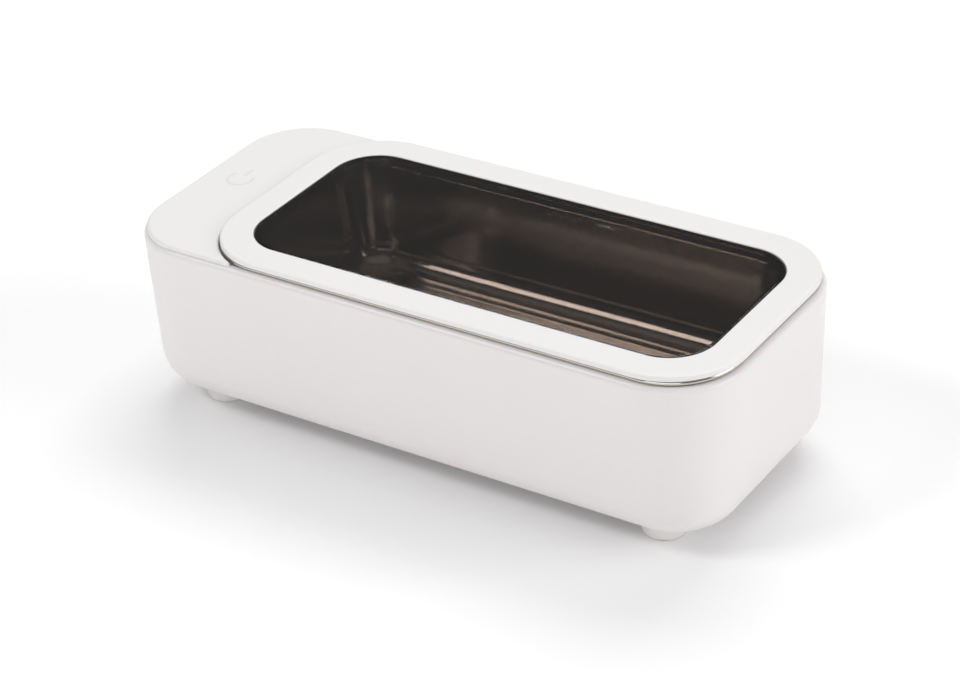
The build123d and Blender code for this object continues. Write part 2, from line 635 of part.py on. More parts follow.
# ---- control board and what stands on it ---------------------------------------------------------
with BuildPart() as control_board:
    with BuildSketch(Plane.XY.offset(CONTROL_BOTTOM)):
        with Locations((CONTROL_X, 0)):
            Rectangle(*CONTROL_SIZE)
        with Locations(*CONTROL_HOLES):
            Circle(SCREW_R + 0.2, mode=Mode.SUBTRACT)
    extrude(amount=BOARD_T)
finish(control_board, "control_board")

with BuildPart() as control_screws:
    for screw in CONTROL_HOLES:
        pan_head_screw(Plane.XY.offset(CONTROL_BOTTOM), screw, CONTROL_STANDOFF + BOARD_T - 0.6)
finish(control_screws, "control_screws")

with BuildPart() as touch_pad:
    with BuildSketch(Plane.XY.offset(CONTROL_TOP)):
        with Locations((KEY_X, KEY_Y)):
            Circle(TOUCH_PAD_R)
            Circle(TOUCH_PAD_BORE, mode=Mode.SUBTRACT)
    extrude(amount=CONTROL_STANDOFF)
finish(touch_pad, "touch_pad")

with BuildPart() as status_led:
    with Locations((KEY_X, KEY_Y, CONTROL_TOP)):
        Box(*LED_SIZE, align=(Align.CENTER, Align.CENTER, Align.MIN))
finish(status_led, "status_led")

with BuildPart() as controller_chip:
    with Locations((CONTROL_X, CHIP_DY, CONTROL_BOTTOM)):
        Box(*CHIP_SIZE, align=(Align.CENTER, Align.CENTER, Align.MAX))
finish(controller_chip, "controller_chip")

with BuildPart() as buzzer:
    with BuildSketch(Plane.XY.offset(CONTROL_BOTTOM)):
        with Locations((CONTROL_X, BUZZER_DY)):
            Circle(BUZZER_R)
    extrude(amount=-BUZZER_T)
finish(buzzer, "buzzer")

# ---- driver board ----------------------------------------------------------------------------------
with BuildPart() as driver_board:
    with BuildSketch(board_plane()):
        with Locations(board_point(((BOARD_Y[0] + BOARD_Y[1]) / 2, (BOARD_Z[0] + BOARD_Z[1]) / 2))):
            Rectangle(BOARD_Y[1] - BOARD_Y[0], BOARD_Z[1] - BOARD_Z[0])
        with Locations(*[board_point(hole) for hole in BOARD_HOLES]):
            Circle(SCREW_R + 0.2, mode=Mode.SUBTRACT)
    extrude(amount=-BOARD_T)
finish(driver_board, "driver_board")

with BuildPart() as driver_screws:
    screw_plane = Plane(origin=(BOARD_FACE, 0, 0), x_dir=(0, 1, 0), z_dir=(1, 0, 0))
    for screw in BOARD_HOLES:
        pan_head_screw(screw_plane, screw, BOARD_T + BOARD_STANDOFF)
finish(driver_screws, "driver_screws")

# transformer: a core of two yokes and three legs, a bobbin on the middle leg and its coil
WINDOW_HEIGHT = CORE_SIZE[2] - 2 * CORE_YOKE
CORE_WINDOW = (CORE_SIZE[1] - CORE_LEG) / 2 - CORE_LEG / 2
with BuildPart() as transformer_core:
    box_on_board(CORE_SIZE, CORE_AT, CORE_OFF_BOARD)
    core_x = BOARD_FACE - CORE_OFF_BOARD - CORE_SIZE[0] / 2
    for side in (-1, 1):
        with Locations((core_x, CORE_AT[0] + side * (CORE_LEG + CORE_WINDOW) / 2, CORE_AT[1])):
            Box(CORE_SIZE[0], CORE_WINDOW, WINDOW_HEIGHT, mode=Mode.SUBTRACT)
finish(transformer_core, "transformer_core")

BOBBIN_SIZE = (CORE_SIZE[0] + 2 * BOBBIN_WALL, CORE_LEG + 2 * BOBBIN_WALL, WINDOW_HEIGHT)
with BuildPart() as transformer_bobbin:
    with Locations((core_x, CORE_AT[0], CORE_AT[1])):
        Box(*BOBBIN_SIZE)
        Box(CORE_SIZE[0], CORE_LEG, WINDOW_HEIGHT, mode=Mode.SUBTRACT)
    # foot that carries the pins
    for side in (-1, 1):
        with Locations((BOARD_FACE, CORE_AT[0], CORE_AT[1] + side * (WINDOW_HEIGHT / 2 - BOBBIN_WALL))):
            Box(
                CORE_OFF_BOARD - BOBBIN_WALL,
                BOBBIN_SIZE[1],
                2 * BOBBIN_WALL,
                align=(Align.MAX, Align.CENTER, Align.CENTER),
            )
finish(transformer_bobbin, "transformer_bobbin")

COIL_HEIGHT = WINDOW_HEIGHT - 4 * BOBBIN_WALL
with BuildPart() as transformer_coil:
    with BuildSketch(Plane.XY.offset(CORE_AT[1] - COIL_HEIGHT / 2)):
        with Locations((core_x, CORE_AT[0])):
            RectangleRounded(BOBBIN_SIZE[0] + 2 * COIL_T, BOBBIN_SIZE[1] + 2 * COIL_T, COIL_T * 0.9)
            Rectangle(BOBBIN_SIZE[0], BOBBIN_SIZE[1], mode=Mode.SUBTRACT)
    extrude(amount=COIL_HEIGHT)
finish(transformer_coil, "transformer_coil")

with BuildPart() as choke_core:
    for offset_x, height, radius in (
        (0, CHOKE_FLANGE, CHOKE_R),
        (0, CHOKE_HEIGHT, CHOKE_CORE_R),
        (CHOKE_HEIGHT - CHOKE_FLANGE, CHOKE_FLANGE, CHOKE_R),
    ):
        with BuildSketch(board_plane(offset_x)):
            with Locations(board_point(CHOKE_AT)):
                Circle(radius)
        extrude(amount=height)
finish(choke_core, "choke_core")

with BuildPart() as choke_coil:
    with BuildSketch(board_plane(CHOKE_FLANGE)):
        with Locations(board_point(CHOKE_AT)):
            Circle(CHOKE_R - 0.4)
            Circle(CHOKE_CORE_R, mode=Mode.SUBTRACT)
    extrude(amount=CHOKE_HEIGHT - 2 * CHOKE_FLANGE)
finish(choke_coil, "choke_coil")

with BuildPart() as bulk_capacitor:
    with BuildSketch(board_plane()):
        with Locations(board_point(BULK_AT)):
            Circle(BULK_R)
    extrude(amount=BULK_HEIGHT)
    fillet(bulk_capacitor.faces().sort_by(Axis.X)[0].edges(), 0.6)
finish(bulk_capacitor, "bulk_capacitor")

with BuildPart() as film_capacitor:
    box_on_board(FILM_SIZE, FILM_AT)
    fillet(film_capacitor.edges().filter_by(Axis.X), 0.8)
finish(film_capacitor, "film_capacitor")

with BuildPart() as heatsink:
    box_on_board(SINK_SIZE, SINK_AT, 0.4)
    fin_pitch = (SINK_SIZE[1] - FIN_T) / (FIN_COUNT - 1)
    for fin in range(FIN_COUNT):
        fin_y = SINK_AT[0] - SINK_SIZE[1] / 2 + FIN_T / 2 + fin * fin_pitch
        fin_z = SINK_AT[1] + SINK_SIZE[2] / 2 + FIN_HEIGHT / 2
        box_on_board((SINK_SIZE[0], FIN_T, FIN_HEIGHT), (fin_y, fin_z), 0.4)
finish(heatsink, "heatsink")

with BuildPart() as power_transistor:
    mosfet_z = SINK_AT[1] - SINK_SIZE[2] / 2 - MOSFET_SIZE[2] / 2
    mosfet_off = 0.4 + SINK_SIZE[0] - MOSFET_SIZE[0]
    box_on_board(MOSFET_SIZE, (SINK_AT[0], mosfet_z), mosfet_off)
    with BuildSketch(board_plane()):
        with Locations(board_point((SINK_AT[0], mosfet_z))):
            with GridLocations(MOSFET_LEG_PITCH, 1, 3, 1):
                Circle(MOSFET_LEG_R)
    extrude(amount=mosfet_off)
finish(power_transistor, "power_transistor")

for socket_name, socket_at, socket_size in (
    ("transducer_socket", TRANSDUCER_SOCKET_AT, SOCKET_SIZE),
    ("power_socket", POWER_SOCKET_AT, SOCKET_SIZE),
    ("signal_socket", SIGNAL_SOCKET_AT, SIGNAL_SOCKET_SIZE),
):
    with BuildPart() as socket:
        box_on_board(socket_size, socket_at)
    finish(socket, socket_name)

# ---- power inlet -----------------------------------------------------------------------------------
jack_plane = Plane(origin=(JACK_FACE, 0, JACK_Z), x_dir=(0, 1, 0), z_dir=(1, 0, 0))
with BuildPart() as dc_jack_body:
    with BuildSketch(jack_plane):
        Circle(JACK_FLANGE_R)
    extrude(amount=-JACK_FLANGE_T)
    fillet(dc_jack_body.faces().sort_by(Axis.X)[0].edges(), 0.4)
    with BuildSketch(jack_plane):
        Circle(JACK_R)
    extrude(amount=JACK_LENGTH)
    with BuildSketch(jack_plane.offset(-JACK_FLANGE_T)):
        Circle(JACK_BORE_R)
    extrude(amount=JACK_BORE_DEPTH, mode=Mode.SUBTRACT)
finish(dc_jack_body, "dc_jack_body")

with BuildPart() as dc_jack_pin:
    with BuildSketch(jack_plane.offset(JACK_BORE_DEPTH - JACK_FLANGE_T)):
        Circle(JACK_PIN_R)
    extrude(amount=-JACK_BORE_DEPTH + JACK_FLANGE_T)
    fillet(dc_jack_pin.faces().sort_by(Axis.X)[0].edges(), 0.4)
finish(dc_jack_pin, "dc_jack_pin")

with BuildPart() as dc_jack_nut:
    with BuildSketch(jack_plane.offset(JACK_BACK - JACK_FACE)):
        RegularPolygon(NUT_FLATS / 2, 6, major_radius=False)
        Circle(JACK_R, mode=Mode.SUBTRACT)
    extrude(amount=NUT_T)
finish(dc_jack_nut, "dc_jack_nut")

with BuildPart() as dc_jack_lugs:
    with Locations(*[(JACK_TAIL + LUG_SIZE[0] / 2, y, JACK_Z) for y in (-LUG_Y, LUG_Y)]):
        Box(*LUG_SIZE)
finish(dc_jack_lugs, "dc_jack_lugs")

# ---- leads inside the housing ------------------------------------------------------------------------
LUG_END = JACK_TAIL + LUG_SIZE[0]
SOCKET_MID_X = BOARD_FACE - SOCKET_SIZE[0] / 2
TRANSDUCER_SOCKET_BOTTOM = TRANSDUCER_SOCKET_AT[1] - SOCKET_SIZE[2] / 2
POWER_SOCKET_TOP = POWER_SOCKET_AT[1] + SOCKET_SIZE[2] / 2
EAR_END = TRANSDUCER_X - EAR_REACH
LEAD_ROUTES = {
    "transducer_lead_live": [
        (SOCKET_MID_X, -4.6, TRANSDUCER_SOCKET_BOTTOM),
        (SOCKET_MID_X, -4.6, COVER_LEDGE_TOP + 0.6),
        (-77.5, -4.8, COVER_LEDGE_TOP + 0.4),
        (-66.0, -6.6, COVER_LEDGE_TOP + 1.4),
        (-48.0, -8.2, COVER_LEDGE_TOP + 2.2),
        (-29.0, -6.4, COVER_LEDGE_TOP + 1.8),
        (-16.0, -EAR_Y, PIEZO_BOTTOM - ELECTRODE_T / 2),
        (EAR_END, -EAR_Y, PIEZO_BOTTOM - ELECTRODE_T / 2),
    ],
    "transducer_lead_return": [
        (SOCKET_MID_X, -1.4, TRANSDUCER_SOCKET_BOTTOM),
        (SOCKET_MID_X, -1.4, COVER_LEDGE_TOP + 0.6),
        (-77.5, -1.2, COVER_LEDGE_TOP + 0.4),
        (-66.0, 0.8, COVER_LEDGE_TOP + 1.6),
        (-48.0, 3.4, COVER_LEDGE_TOP + 3.4),
        (-29.0, 5.6, COVER_LEDGE_TOP + 4.8),
        (-16.0, EAR_Y, PIEZO_TOP + ELECTRODE_T / 2),
        (EAR_END, EAR_Y, PIEZO_TOP + ELECTRODE_T / 2),
    ],
    "power_lead_positive": [
        (SOCKET_MID_X, 12.4, POWER_SOCKET_TOP),
        (SOCKET_MID_X, 12.4, 24.6),
        (SOCKET_MID_X + 0.4, 6.6, 25.4),
        (SOCKET_MID_X - 0.4, LUG_Y, JACK_Z + 0.2),
        (LUG_END, LUG_Y, JACK_Z),
    ],
    "power_lead_negative": [
        (SOCKET_MID_X, 15.6, POWER_SOCKET_TOP),
        (SOCKET_MID_X, 15.6, 27.4),
        (SOCKET_MID_X + 0.4, 7.0, 30.0),
        (SOCKET_MID_X + 0.4, -1.4, 28.4),
        (SOCKET_MID_X - 0.2, -LUG_Y, JACK_Z + 0.2),
        (LUG_END, -LUG_Y, JACK_Z),
    ],
}
for lead_name, lead_route in LEAD_ROUTES.items():
    radii = bend_radii(lead_route)
    with BuildPart() as lead:
        with BuildLine() as lead_line:
            FilletPolyline(*lead_route, radius=radii)
        with BuildSketch(Plane(origin=lead_line.line @ 0, z_dir=lead_line.line % 0)):
            Circle(LEAD_R)
        sweep()
    finish(lead, lead_name)
    print(lead_name, "bend radii", [round(radius, 1) for radius in radii])

SIGNAL_TOP = SIGNAL_SOCKET_AT[1] + SIGNAL_SOCKET_SIZE[2] / 2
RIBBON_ROUTE = [
    (BOARD_FACE - 2.4, SIGNAL_TOP),
    (BOARD_FACE - 2.4, SIGNAL_TOP + 2.0),
    (CONTROL_X - 1.0, SIGNAL_TOP + 1.0),
    (CONTROL_X - 4.0, CONTROL_BOTTOM - 1.6),
    (CONTROL_X - 4.0, CONTROL_BOTTOM),
]
with BuildPart() as signal_ribbon:
    with BuildSketch(Plane.XZ.offset(-SIGNAL_SOCKET_AT[0] - RIBBON_WIDTH / 2)):
        with BuildLine() as ribbon_line:
            FilletPolyline(*RIBBON_ROUTE, radius=bend_radii([(x, 0, z) for x, z in RIBBON_ROUTE]))
        trace(line_width=RIBBON_T)
    extrude(amount=RIBBON_WIDTH)
finish(signal_ribbon, "signal_ribbon")

# ---- lid: a ring, a smoked window welded into it and pads ----------------------------------------
pad_places = [(x, side * (WINDOW_Y + RING_Y) / 2) for x in PAD_XS for side in (-1, 1)]

with BuildPart() as lid_ring:
    with BuildSketch(Plane.XY.offset(RING_BOTTOM)):
        plan(RING_X, RING_Y, RING_R)
        plan(WINDOW_X, WINDOW_Y, WINDOW_R, mode=Mode.SUBTRACT)
    extrude(amount=RING_T)
    ring_face = lid_ring.faces().sort_by(Axis.Z)[-1]
    fillet(ring_face.outer_wire().edges(), RING_TOP_FILLET)
    ring_face = lid_ring.faces().sort_by(Axis.Z)[-1]
    fillet(ring_face.inner_wires()[0].edges(), 0.3)
    with BuildSketch(Plane.XY.offset(RING_BOTTOM)):
        with Locations(*pad_places):
            Circle(PAD_R)
    extrude(amount=PAD_POCKET, mode=Mode.SUBTRACT)
finish(lid_ring, "lid_ring")

with BuildPart() as lid_window:
    with BuildSketch(Plane.XY.offset(WINDOW_FLANGE_BOTTOM)):
        plan(WINDOW_X, WINDOW_Y, WINDOW_R, grow=-WINDOW_GAP)
    extrude(amount=WINDOW_TOP - WINDOW_FLANGE_BOTTOM)
    fillet(lid_window.faces().sort_by(Axis.Z)[-1].edges(), WINDOW_FILLET)
    with BuildSketch(Plane.XY.offset(WINDOW_FLANGE_BOTTOM)):
        plan(WINDOW_X, WINDOW_Y, WINDOW_R, grow=WINDOW_FLANGE)
    extrude(amount=WINDOW_FLANGE_T)
    with BuildSketch(Plane.XY.offset(SKIRT_BOTTOM)):
        plan(WINDOW_X, WINDOW_Y, WINDOW_R, grow=-SKIRT_INSET)
    extrude(amount=SKIRT_DEPTH)
    with BuildSketch(Plane.XY.offset(SKIRT_BOTTOM)):
        plan(WINDOW_X, WINDOW_Y, WINDOW_R, grow=-SKIRT_INSET - SKIRT_T)
    extrude(amount=WINDOW_TOP - WINDOW_T - SKIRT_BOTTOM, mode=Mode.SUBTRACT)
finish(lid_window, "lid_window")

with BuildPart() as lid_pads:
    with BuildSketch(Plane.XY.offset(FLANGE_TOP)):
        with Locations(*pad_places):
            Circle(PAD_R)
    extrude(amount=RING_BOTTOM + PAD_POCKET - FLANGE_TOP)
finish(lid_pads, "lid_pads")
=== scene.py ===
"""Looks of a small ultrasonic cleaner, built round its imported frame.

The frame holds every part at its real size. This script dresses each part in the material that it is
made of, rebuilds the pressed tank, the coils and the screws as finer meshes, and sets the floor, the
lights and the camera. Everything is in metres; sizes with names that end in _mm are in millimetres.
"""
import logging
import math
from dataclasses import dataclass, field
from enum import Enum
from typing import Any, Iterable, Sequence

import bmesh
import bpy
from mathutils import Matrix, Vector


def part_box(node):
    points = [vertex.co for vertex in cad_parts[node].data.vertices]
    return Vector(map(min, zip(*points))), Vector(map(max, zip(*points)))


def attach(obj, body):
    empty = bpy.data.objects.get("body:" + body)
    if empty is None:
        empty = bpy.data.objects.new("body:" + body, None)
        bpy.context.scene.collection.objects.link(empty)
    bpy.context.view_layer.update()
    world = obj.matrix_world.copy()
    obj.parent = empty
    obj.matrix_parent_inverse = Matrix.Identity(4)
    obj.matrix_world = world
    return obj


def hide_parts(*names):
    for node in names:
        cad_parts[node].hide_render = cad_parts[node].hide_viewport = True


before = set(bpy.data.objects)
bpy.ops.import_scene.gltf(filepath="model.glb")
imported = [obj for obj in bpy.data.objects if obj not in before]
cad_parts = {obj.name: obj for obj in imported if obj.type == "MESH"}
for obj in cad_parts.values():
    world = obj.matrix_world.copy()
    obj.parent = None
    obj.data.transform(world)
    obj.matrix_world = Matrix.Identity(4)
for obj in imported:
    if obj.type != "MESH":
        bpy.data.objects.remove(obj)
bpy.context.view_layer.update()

LOG = logging.getLogger("ultrasonic_cleaner")
MM = 0.001
Point = tuple[float, float, float]
SMEARS_PER_PATCH = 2.2      # smears of roughness across one soft patch of colour
DRAW_LINE_STRETCH = 0.02    # width over length of the lines that the press leaves
SIDE_SHARES = (0.01, 0.5, 0.99)     # where an outline's straight sides get points
SHARP_DEG = 40.0            # edges that turn by more than this stay sharp


# ---- colours and node helpers --------------------------------------------------------------------
def linear(hex_colour: str) -> tuple[float, float, float, float]:
    """Turn an sRGB colour into the linear one that shaders use.

    Args:
        hex_colour: Six hex digits, such as "EFEEED".

    Returns:
        Linear red, green and blue, with an alpha of 1.
    """
    channels = (int(hex_colour[start:start + 2], 16) / 255 for start in (0, 2, 4))
    red, green, blue = (c / 12.92 if c <= 0.04045 else ((c + 0.055) / 1.055) ** 2.4 for c in channels)
    return red, green, blue, 1.0


def add_node(tree: bpy.types.NodeTree, kind: str, settings: dict[str, Any] | None = None,
             inputs: dict[Any, Any] | None = None) -> bpy.types.Node:
    """Add a node with its settings, values and links.

    Args:
        tree: Tree that the node joins.
        kind: The node's type, such as "ShaderNodeTexNoise".
        settings: Properties of the node.
        inputs: Sockets by name or number; an output socket is linked and anything else is a value.

    Returns:
        The new node.
    """
    node = tree.nodes.new(kind)
    for name, value in (settings or {}).items():
        setattr(node, name, value)
    for name, value in (inputs or {}).items():
        if isinstance(value, bpy.types.NodeSocket):
            tree.links.new(value, node.inputs[name])
        else:
            node.inputs[name].default_value = value
    return node


class Pattern(Enum):
    """What the surface's fine relief looks like."""

    GRAIN = "grain"
    DRAWN = "drawn"
    WEAVE = "weave"


@dataclass(frozen=True)
class Finish:
    """One finish, as the shader needs it.

    Attributes:
        name: Name of the material.
        colour: sRGB colour of the base.
        shade: sRGB colour that the base varies towards, in soft patches.
        roughness: Mean roughness.
        roughness_spread: How far the roughness strays from its mean.
        metallic: 1 for a bare metal.
        ior: Index of refraction; a metal keeps the default.
        patch_mm: Size of the soft patches of colour.
        relief: Kind of fine relief.
        relief_mm: Spacing of the relief.
        relief_depth_mm: Depth of the relief.
        relief_strength: How strongly the relief tilts the surface.
        coat: Weight of a clear coat.
        sheen: Weight of a dusty sheen.
        transmission: Share of light that passes through.
        subsurface: Share of light that scatters under the skin.
        subsurface_mm: How far it scatters.
    """

    name: str
    colour: str
    shade: str
    roughness: float
    roughness_spread: float = 0.04
    metallic: float = 0.0
    ior: float = 1.5
    patch_mm: float = 40.0
    relief: Pattern = Pattern.GRAIN
    relief_mm: float = 0.6
    relief_depth_mm: float = 0.004
    relief_strength: float = 0.1
    coat: float = 0.0
    sheen: float = 0.0
    transmission: float = 0.0
    subsurface: float = 0.0
    subsurface_mm: float = 1.0

    def build(self) -> bpy.types.Material:
        """Make the material.

        Returns:
            The material, or the one already made under this name.
        """
        if self.name in bpy.data.materials:
            return bpy.data.materials[self.name]
        material = bpy.data.materials.new(self.name)
        material.use_nodes = True
        tree = material.node_tree
        tree.nodes.clear()
        shader = add_node(tree, "ShaderNodeBsdfPrincipled", None, {
            "Metallic": self.metallic,
            "IOR": self.ior,
            "Coat Weight": self.coat,
            "Sheen Weight": self.sheen,
            "Transmission Weight": self.transmission,
            "Subsurface Weight": self.subsurface,
            "Subsurface Scale": self.subsurface_mm * MM,
        })
        place = add_node(tree, "ShaderNodeTexCoord").outputs["Object"]
        self._colour(tree, shader, place)
        self._roughness(tree, shader, place)
        self._relief(tree, shader, place)
        output = add_node(tree, "ShaderNodeOutputMaterial")
        tree.links.new(shader.outputs["BSDF"], output.inputs["Surface"])
        return material

    def _colour(self, tree: bpy.types.NodeTree, shader: bpy.types.Node,
                place: bpy.types.NodeSocket) -> None:
        """Let the base colour drift softly between its two colours."""
        if self.colour == self.shade:
            shader.inputs["Base Color"].default_value = linear(self.colour)
            return
        patches = add_node(tree, "ShaderNodeTexNoise", None, {
            "Vector": place, "Scale": 1.0 / (self.patch_mm * MM), "Detail": 3.0, "Roughness": 0.5})
        blend = add_node(tree, "ShaderNodeMix", {"data_type": "RGBA"}, {
            0: patches.outputs["Fac"], 6: linear(self.colour), 7: linear(self.shade)})
        tree.links.new(blend.outputs[2], shader.inputs["Base Color"])

    def _roughness(self, tree: bpy.types.NodeTree, shader: bpy.types.Node,
                   place: bpy.types.NodeSocket) -> None:
        """Let the roughness stray from its mean, as handling and moulding leave it."""
        smears = add_node(tree, "ShaderNodeTexNoise", None, {
            "Vector": place, "Scale": SMEARS_PER_PATCH / (self.patch_mm * MM), "Detail": 4.0,
            "Roughness": 0.6})
        spread = add_node(tree, "ShaderNodeMapRange", None, {
            "Value": smears.outputs["Fac"],
            "To Min": max(0.0, self.roughness - self.roughness_spread),
            "To Max": self.roughness + self.roughness_spread,
        })
        tree.links.new(spread.outputs["Result"], shader.inputs["Roughness"])

    def _relief(self, tree: bpy.types.NodeTree, shader: bpy.types.Node,
                place: bpy.types.NodeSocket) -> None:
        """Give the surface its fine relief, at its real spacing."""
        frequency = 1.0 / (self.relief_mm * MM)
        if self.relief is Pattern.DRAWN:
            # lines left by the press run up the walls, so the pattern is stretched along Z
            stretched = add_node(tree, "ShaderNodeMapping", None, {
                "Vector": place, "Scale": (1.0, 1.0, DRAW_LINE_STRETCH)})
            height = add_node(tree, "ShaderNodeTexNoise", None, {
                "Vector": stretched.outputs["Vector"], "Scale": frequency, "Detail": 3.0}).outputs["Fac"]
        elif self.relief is Pattern.WEAVE:
            height = add_node(tree, "ShaderNodeTexVoronoi", None, {
                "Vector": place, "Scale": frequency, "Randomness": 0.4}).outputs["Distance"]
        else:
            height = add_node(tree, "ShaderNodeTexNoise", None, {
                "Vector": place, "Scale": frequency, "Detail": 2.0}).outputs["Fac"]
        bump = add_node(tree, "ShaderNodeBump", None, {
            "Height": height, "Strength": self.relief_strength, "Distance": self.relief_depth_mm * MM})
        tree.links.new(bump.outputs["Normal"], shader.inputs["Normal"])


# ---- finishes --------------------------------------------------------------------------------------
# Glossy ABS straight from a polished mould: a soft, clean highlight and a faintly warm white.
WHITE_ABS = Finish("white_moulded_abs", "EBE7E7", "E8E4E4", 0.30, 0.03, ior=1.54, patch_mm=55,
                   relief_mm=0.9, relief_depth_mm=0.004, relief_strength=0.05, subsurface=0.08,
                   subsurface_mm=1.2)
# The lid's and the deck's tops are spark-eroded to a fine matt, so they spread the light.
WHITE_MATT_ABS = Finish("white_matt_abs", "EDEBEA", "EAE8E7", 0.42, 0.03, ior=1.54, patch_mm=55,
                        relief_mm=0.5, relief_depth_mm=0.006, relief_strength=0.12, subsurface=0.08,
                        subsurface_mm=1.2)
# The base cover has a coarser spark texture that hides sink marks.
TEXTURED_ABS = Finish("white_textured_abs", "E9E8E6", "E3E2E0", 0.55, 0.04, ior=1.54, relief_mm=0.7,
                      relief_depth_mm=0.03, relief_strength=0.35)
# Soft silicone feet: white, slightly see-through at the edge and dull.
WHITE_SILICONE = Finish("white_silicone", "EEECEA", "E6E4E2", 0.48, 0.05, ior=1.41, patch_mm=8,
                        relief_mm=0.5, relief_depth_mm=0.01, relief_strength=0.2, subsurface=0.2,
                        subsurface_mm=1.5)
# Moulded silicone rubber for the gasket: dull and even.
GREY_SILICONE = Finish("grey_silicone", "8D8F91", "85878A", 0.5, 0.05, ior=1.41, relief_mm=0.5)
# Clear silicone for the pads: milky, with light inside it.
CLEAR_SILICONE = Finish("clear_silicone", "DADBDB", "D2D3D3", 0.3, 0.05, ior=1.41, transmission=0.5)
# Deep-drawn stainless steel, buffed bright, with faint draw lines up its walls; the real lines are finer,
# and these are as coarse as they need to be to show.
POLISHED_STEEL = Finish("polished_stainless_steel", "CDC6C0", "C6BFB9", 0.13, 0.02, metallic=1.0,
                        patch_mm=30, relief=Pattern.DRAWN, relief_mm=0.6, relief_depth_mm=0.001,
                        relief_strength=0.04)
# Bright zinc plate on small steel parts: a little cloudy, with blurred highlights.
ZINC_STEEL = Finish("zinc_plated_steel", "B4B6B8", "A2A4A8", 0.32, 0.06, metallic=1.0, patch_mm=3,
                    relief_mm=0.3, relief_depth_mm=0.01)
# Turned aluminium: pale, with fine tool marks that blur its highlights.
ALUMINIUM = Finish("turned_aluminium", "C6C8CB", "BDBFC2", 0.34, 0.06, metallic=1.0, patch_mm=6,
                   relief_mm=0.25, relief_depth_mm=0.01, relief_strength=0.2)
# Thin tinned brass: pale yellow and half bright.
BRASS = Finish("tinned_brass", "CDBB86", "C1AE7A", 0.35, 0.06, metallic=1.0, patch_mm=4)
# Fired ceramic: warm, chalky and matt.
PIEZO_CERAMIC = Finish("fired_ceramic", "C9C1AE", "BDB4A0", 0.6, 0.05, patch_mm=6, relief_mm=0.2,
                       relief_depth_mm=0.02, relief_strength=0.3)
# Solder mask over glass fibre: deep green under a thin gloss.
SOLDER_MASK = Finish("green_solder_mask", "0E4A2A", "12542F", 0.3, 0.05, patch_mm=5, relief_mm=0.4, coat=0.3)
# Black moulded nylon: soft grey highlights.
BLACK_PLASTIC = Finish("black_moulded_plastic", "1B1B1D", "222225", 0.42, 0.06, patch_mm=5, relief_mm=0.3,
                       relief_depth_mm=0.01, relief_strength=0.2)
# Natural nylon: off-white, slightly waxy.
WHITE_NYLON = Finish("white_nylon", "DDDACF", "D5D2C6", 0.4, 0.05, patch_mm=4)
# Sintered ferrite: dark grey with a fine, dry grain.
FERRITE = Finish("sintered_ferrite", "2A2A2C", "353537", 0.5, 0.08, patch_mm=3, relief_mm=0.15,
                 relief_depth_mm=0.02, relief_strength=0.3)
# Copper wire under clear enamel: orange metal with a glossy skin.
COPPER = Finish("enamelled_copper", "B4602F", "9F4F24", 0.28, 0.05, metallic=0.9, patch_mm=3, coat=0.6)
# Shrink sleeve: smooth dark blue film.
BLUE_SLEEVE = Finish("blue_shrink_sleeve", "1B2A63", "20306C", 0.3, 0.05, patch_mm=6)
# Dipped resin: glossy brick red.
RED_RESIN = Finish("red_dipped_resin", "8C1D16", "7C1812", 0.25, 0.05, patch_mm=5, coat=0.3)
# Conductive foam: open black cells that swallow light.
FOAM = Finish("conductive_foam", "2B2B2E", "3A3A3E", 0.9, 0.05, relief=Pattern.WEAVE, relief_mm=0.6,
              relief_depth_mm=0.2, relief_strength=0.8, sheen=0.3)
# Cast clear resin: bright and watery.
LED_RESIN = Finish("clear_led_resin", "F2F4EE", "F2F4EE", 0.1, 0.02, transmission=0.4)
# Silicone-covered leads and flat cable: soft, half-matt colours.
RED_LEAD = Finish("red_silicone_lead", "A31B15", "941812", 0.45, 0.05, patch_mm=6)
BLACK_LEAD = Finish("black_silicone_lead", "161617", "1E1E20", 0.45, 0.05, patch_mm=6)
RIBBON_GREY = Finish("grey_flat_cable", "8B8D90", "808285", 0.4, 0.05, patch_mm=6)
# The key's icon is a translucent inlay, a shade greyer than the deck.
ICON_INLAY = Finish("translucent_inlay", "E4E3E2", "E0DFDE", 0.3, 0.03, ior=1.49, patch_mm=8, subsurface=0.3,
                    subsurface_mm=1.0)


@dataclass(frozen=True)
class SmokedAcrylic:
    """Cast acrylic dyed brown right through, polished on both faces: glassy, and darker where it is thicker.

    Attributes:
        name: Name of the material.
        dye: sRGB colour that the dye tends to.
        dye_per_mm: How strongly a millimetre of it absorbs.
        roughness: Roughness of the polished faces.
        ior: Index of refraction of acrylic.
    """

    name: str = "smoked_acrylic"
    dye: str = "9B8E84"
    dye_per_mm: float = 0.58
    roughness: float = 0.0
    ior: float = 1.49

    def build(self) -> bpy.types.Material:
        """Make the material.

        Returns:
            The material.
        """
        material = bpy.data.materials.new(self.name)
        material.use_nodes = True
        tree = material.node_tree
        shader = tree.nodes["Principled BSDF"]
        shader.inputs["Base Color"].default_value = linear("FFFFFF")
        shader.inputs["Roughness"].default_value = self.roughness
        shader.inputs["IOR"].default_value = self.ior
        shader.inputs["Transmission Weight"].default_value = 1.0
        dye = add_node(tree, "ShaderNodeVolumeAbsorption", None, {
            "Color": linear(self.dye), "Density": self.dye_per_mm / MM})
        tree.links.new(dye.outputs["Volume"], tree.nodes["Material Output"].inputs["Volume"])
        return material


SMOKED_ACRYLIC = SmokedAcrylic()


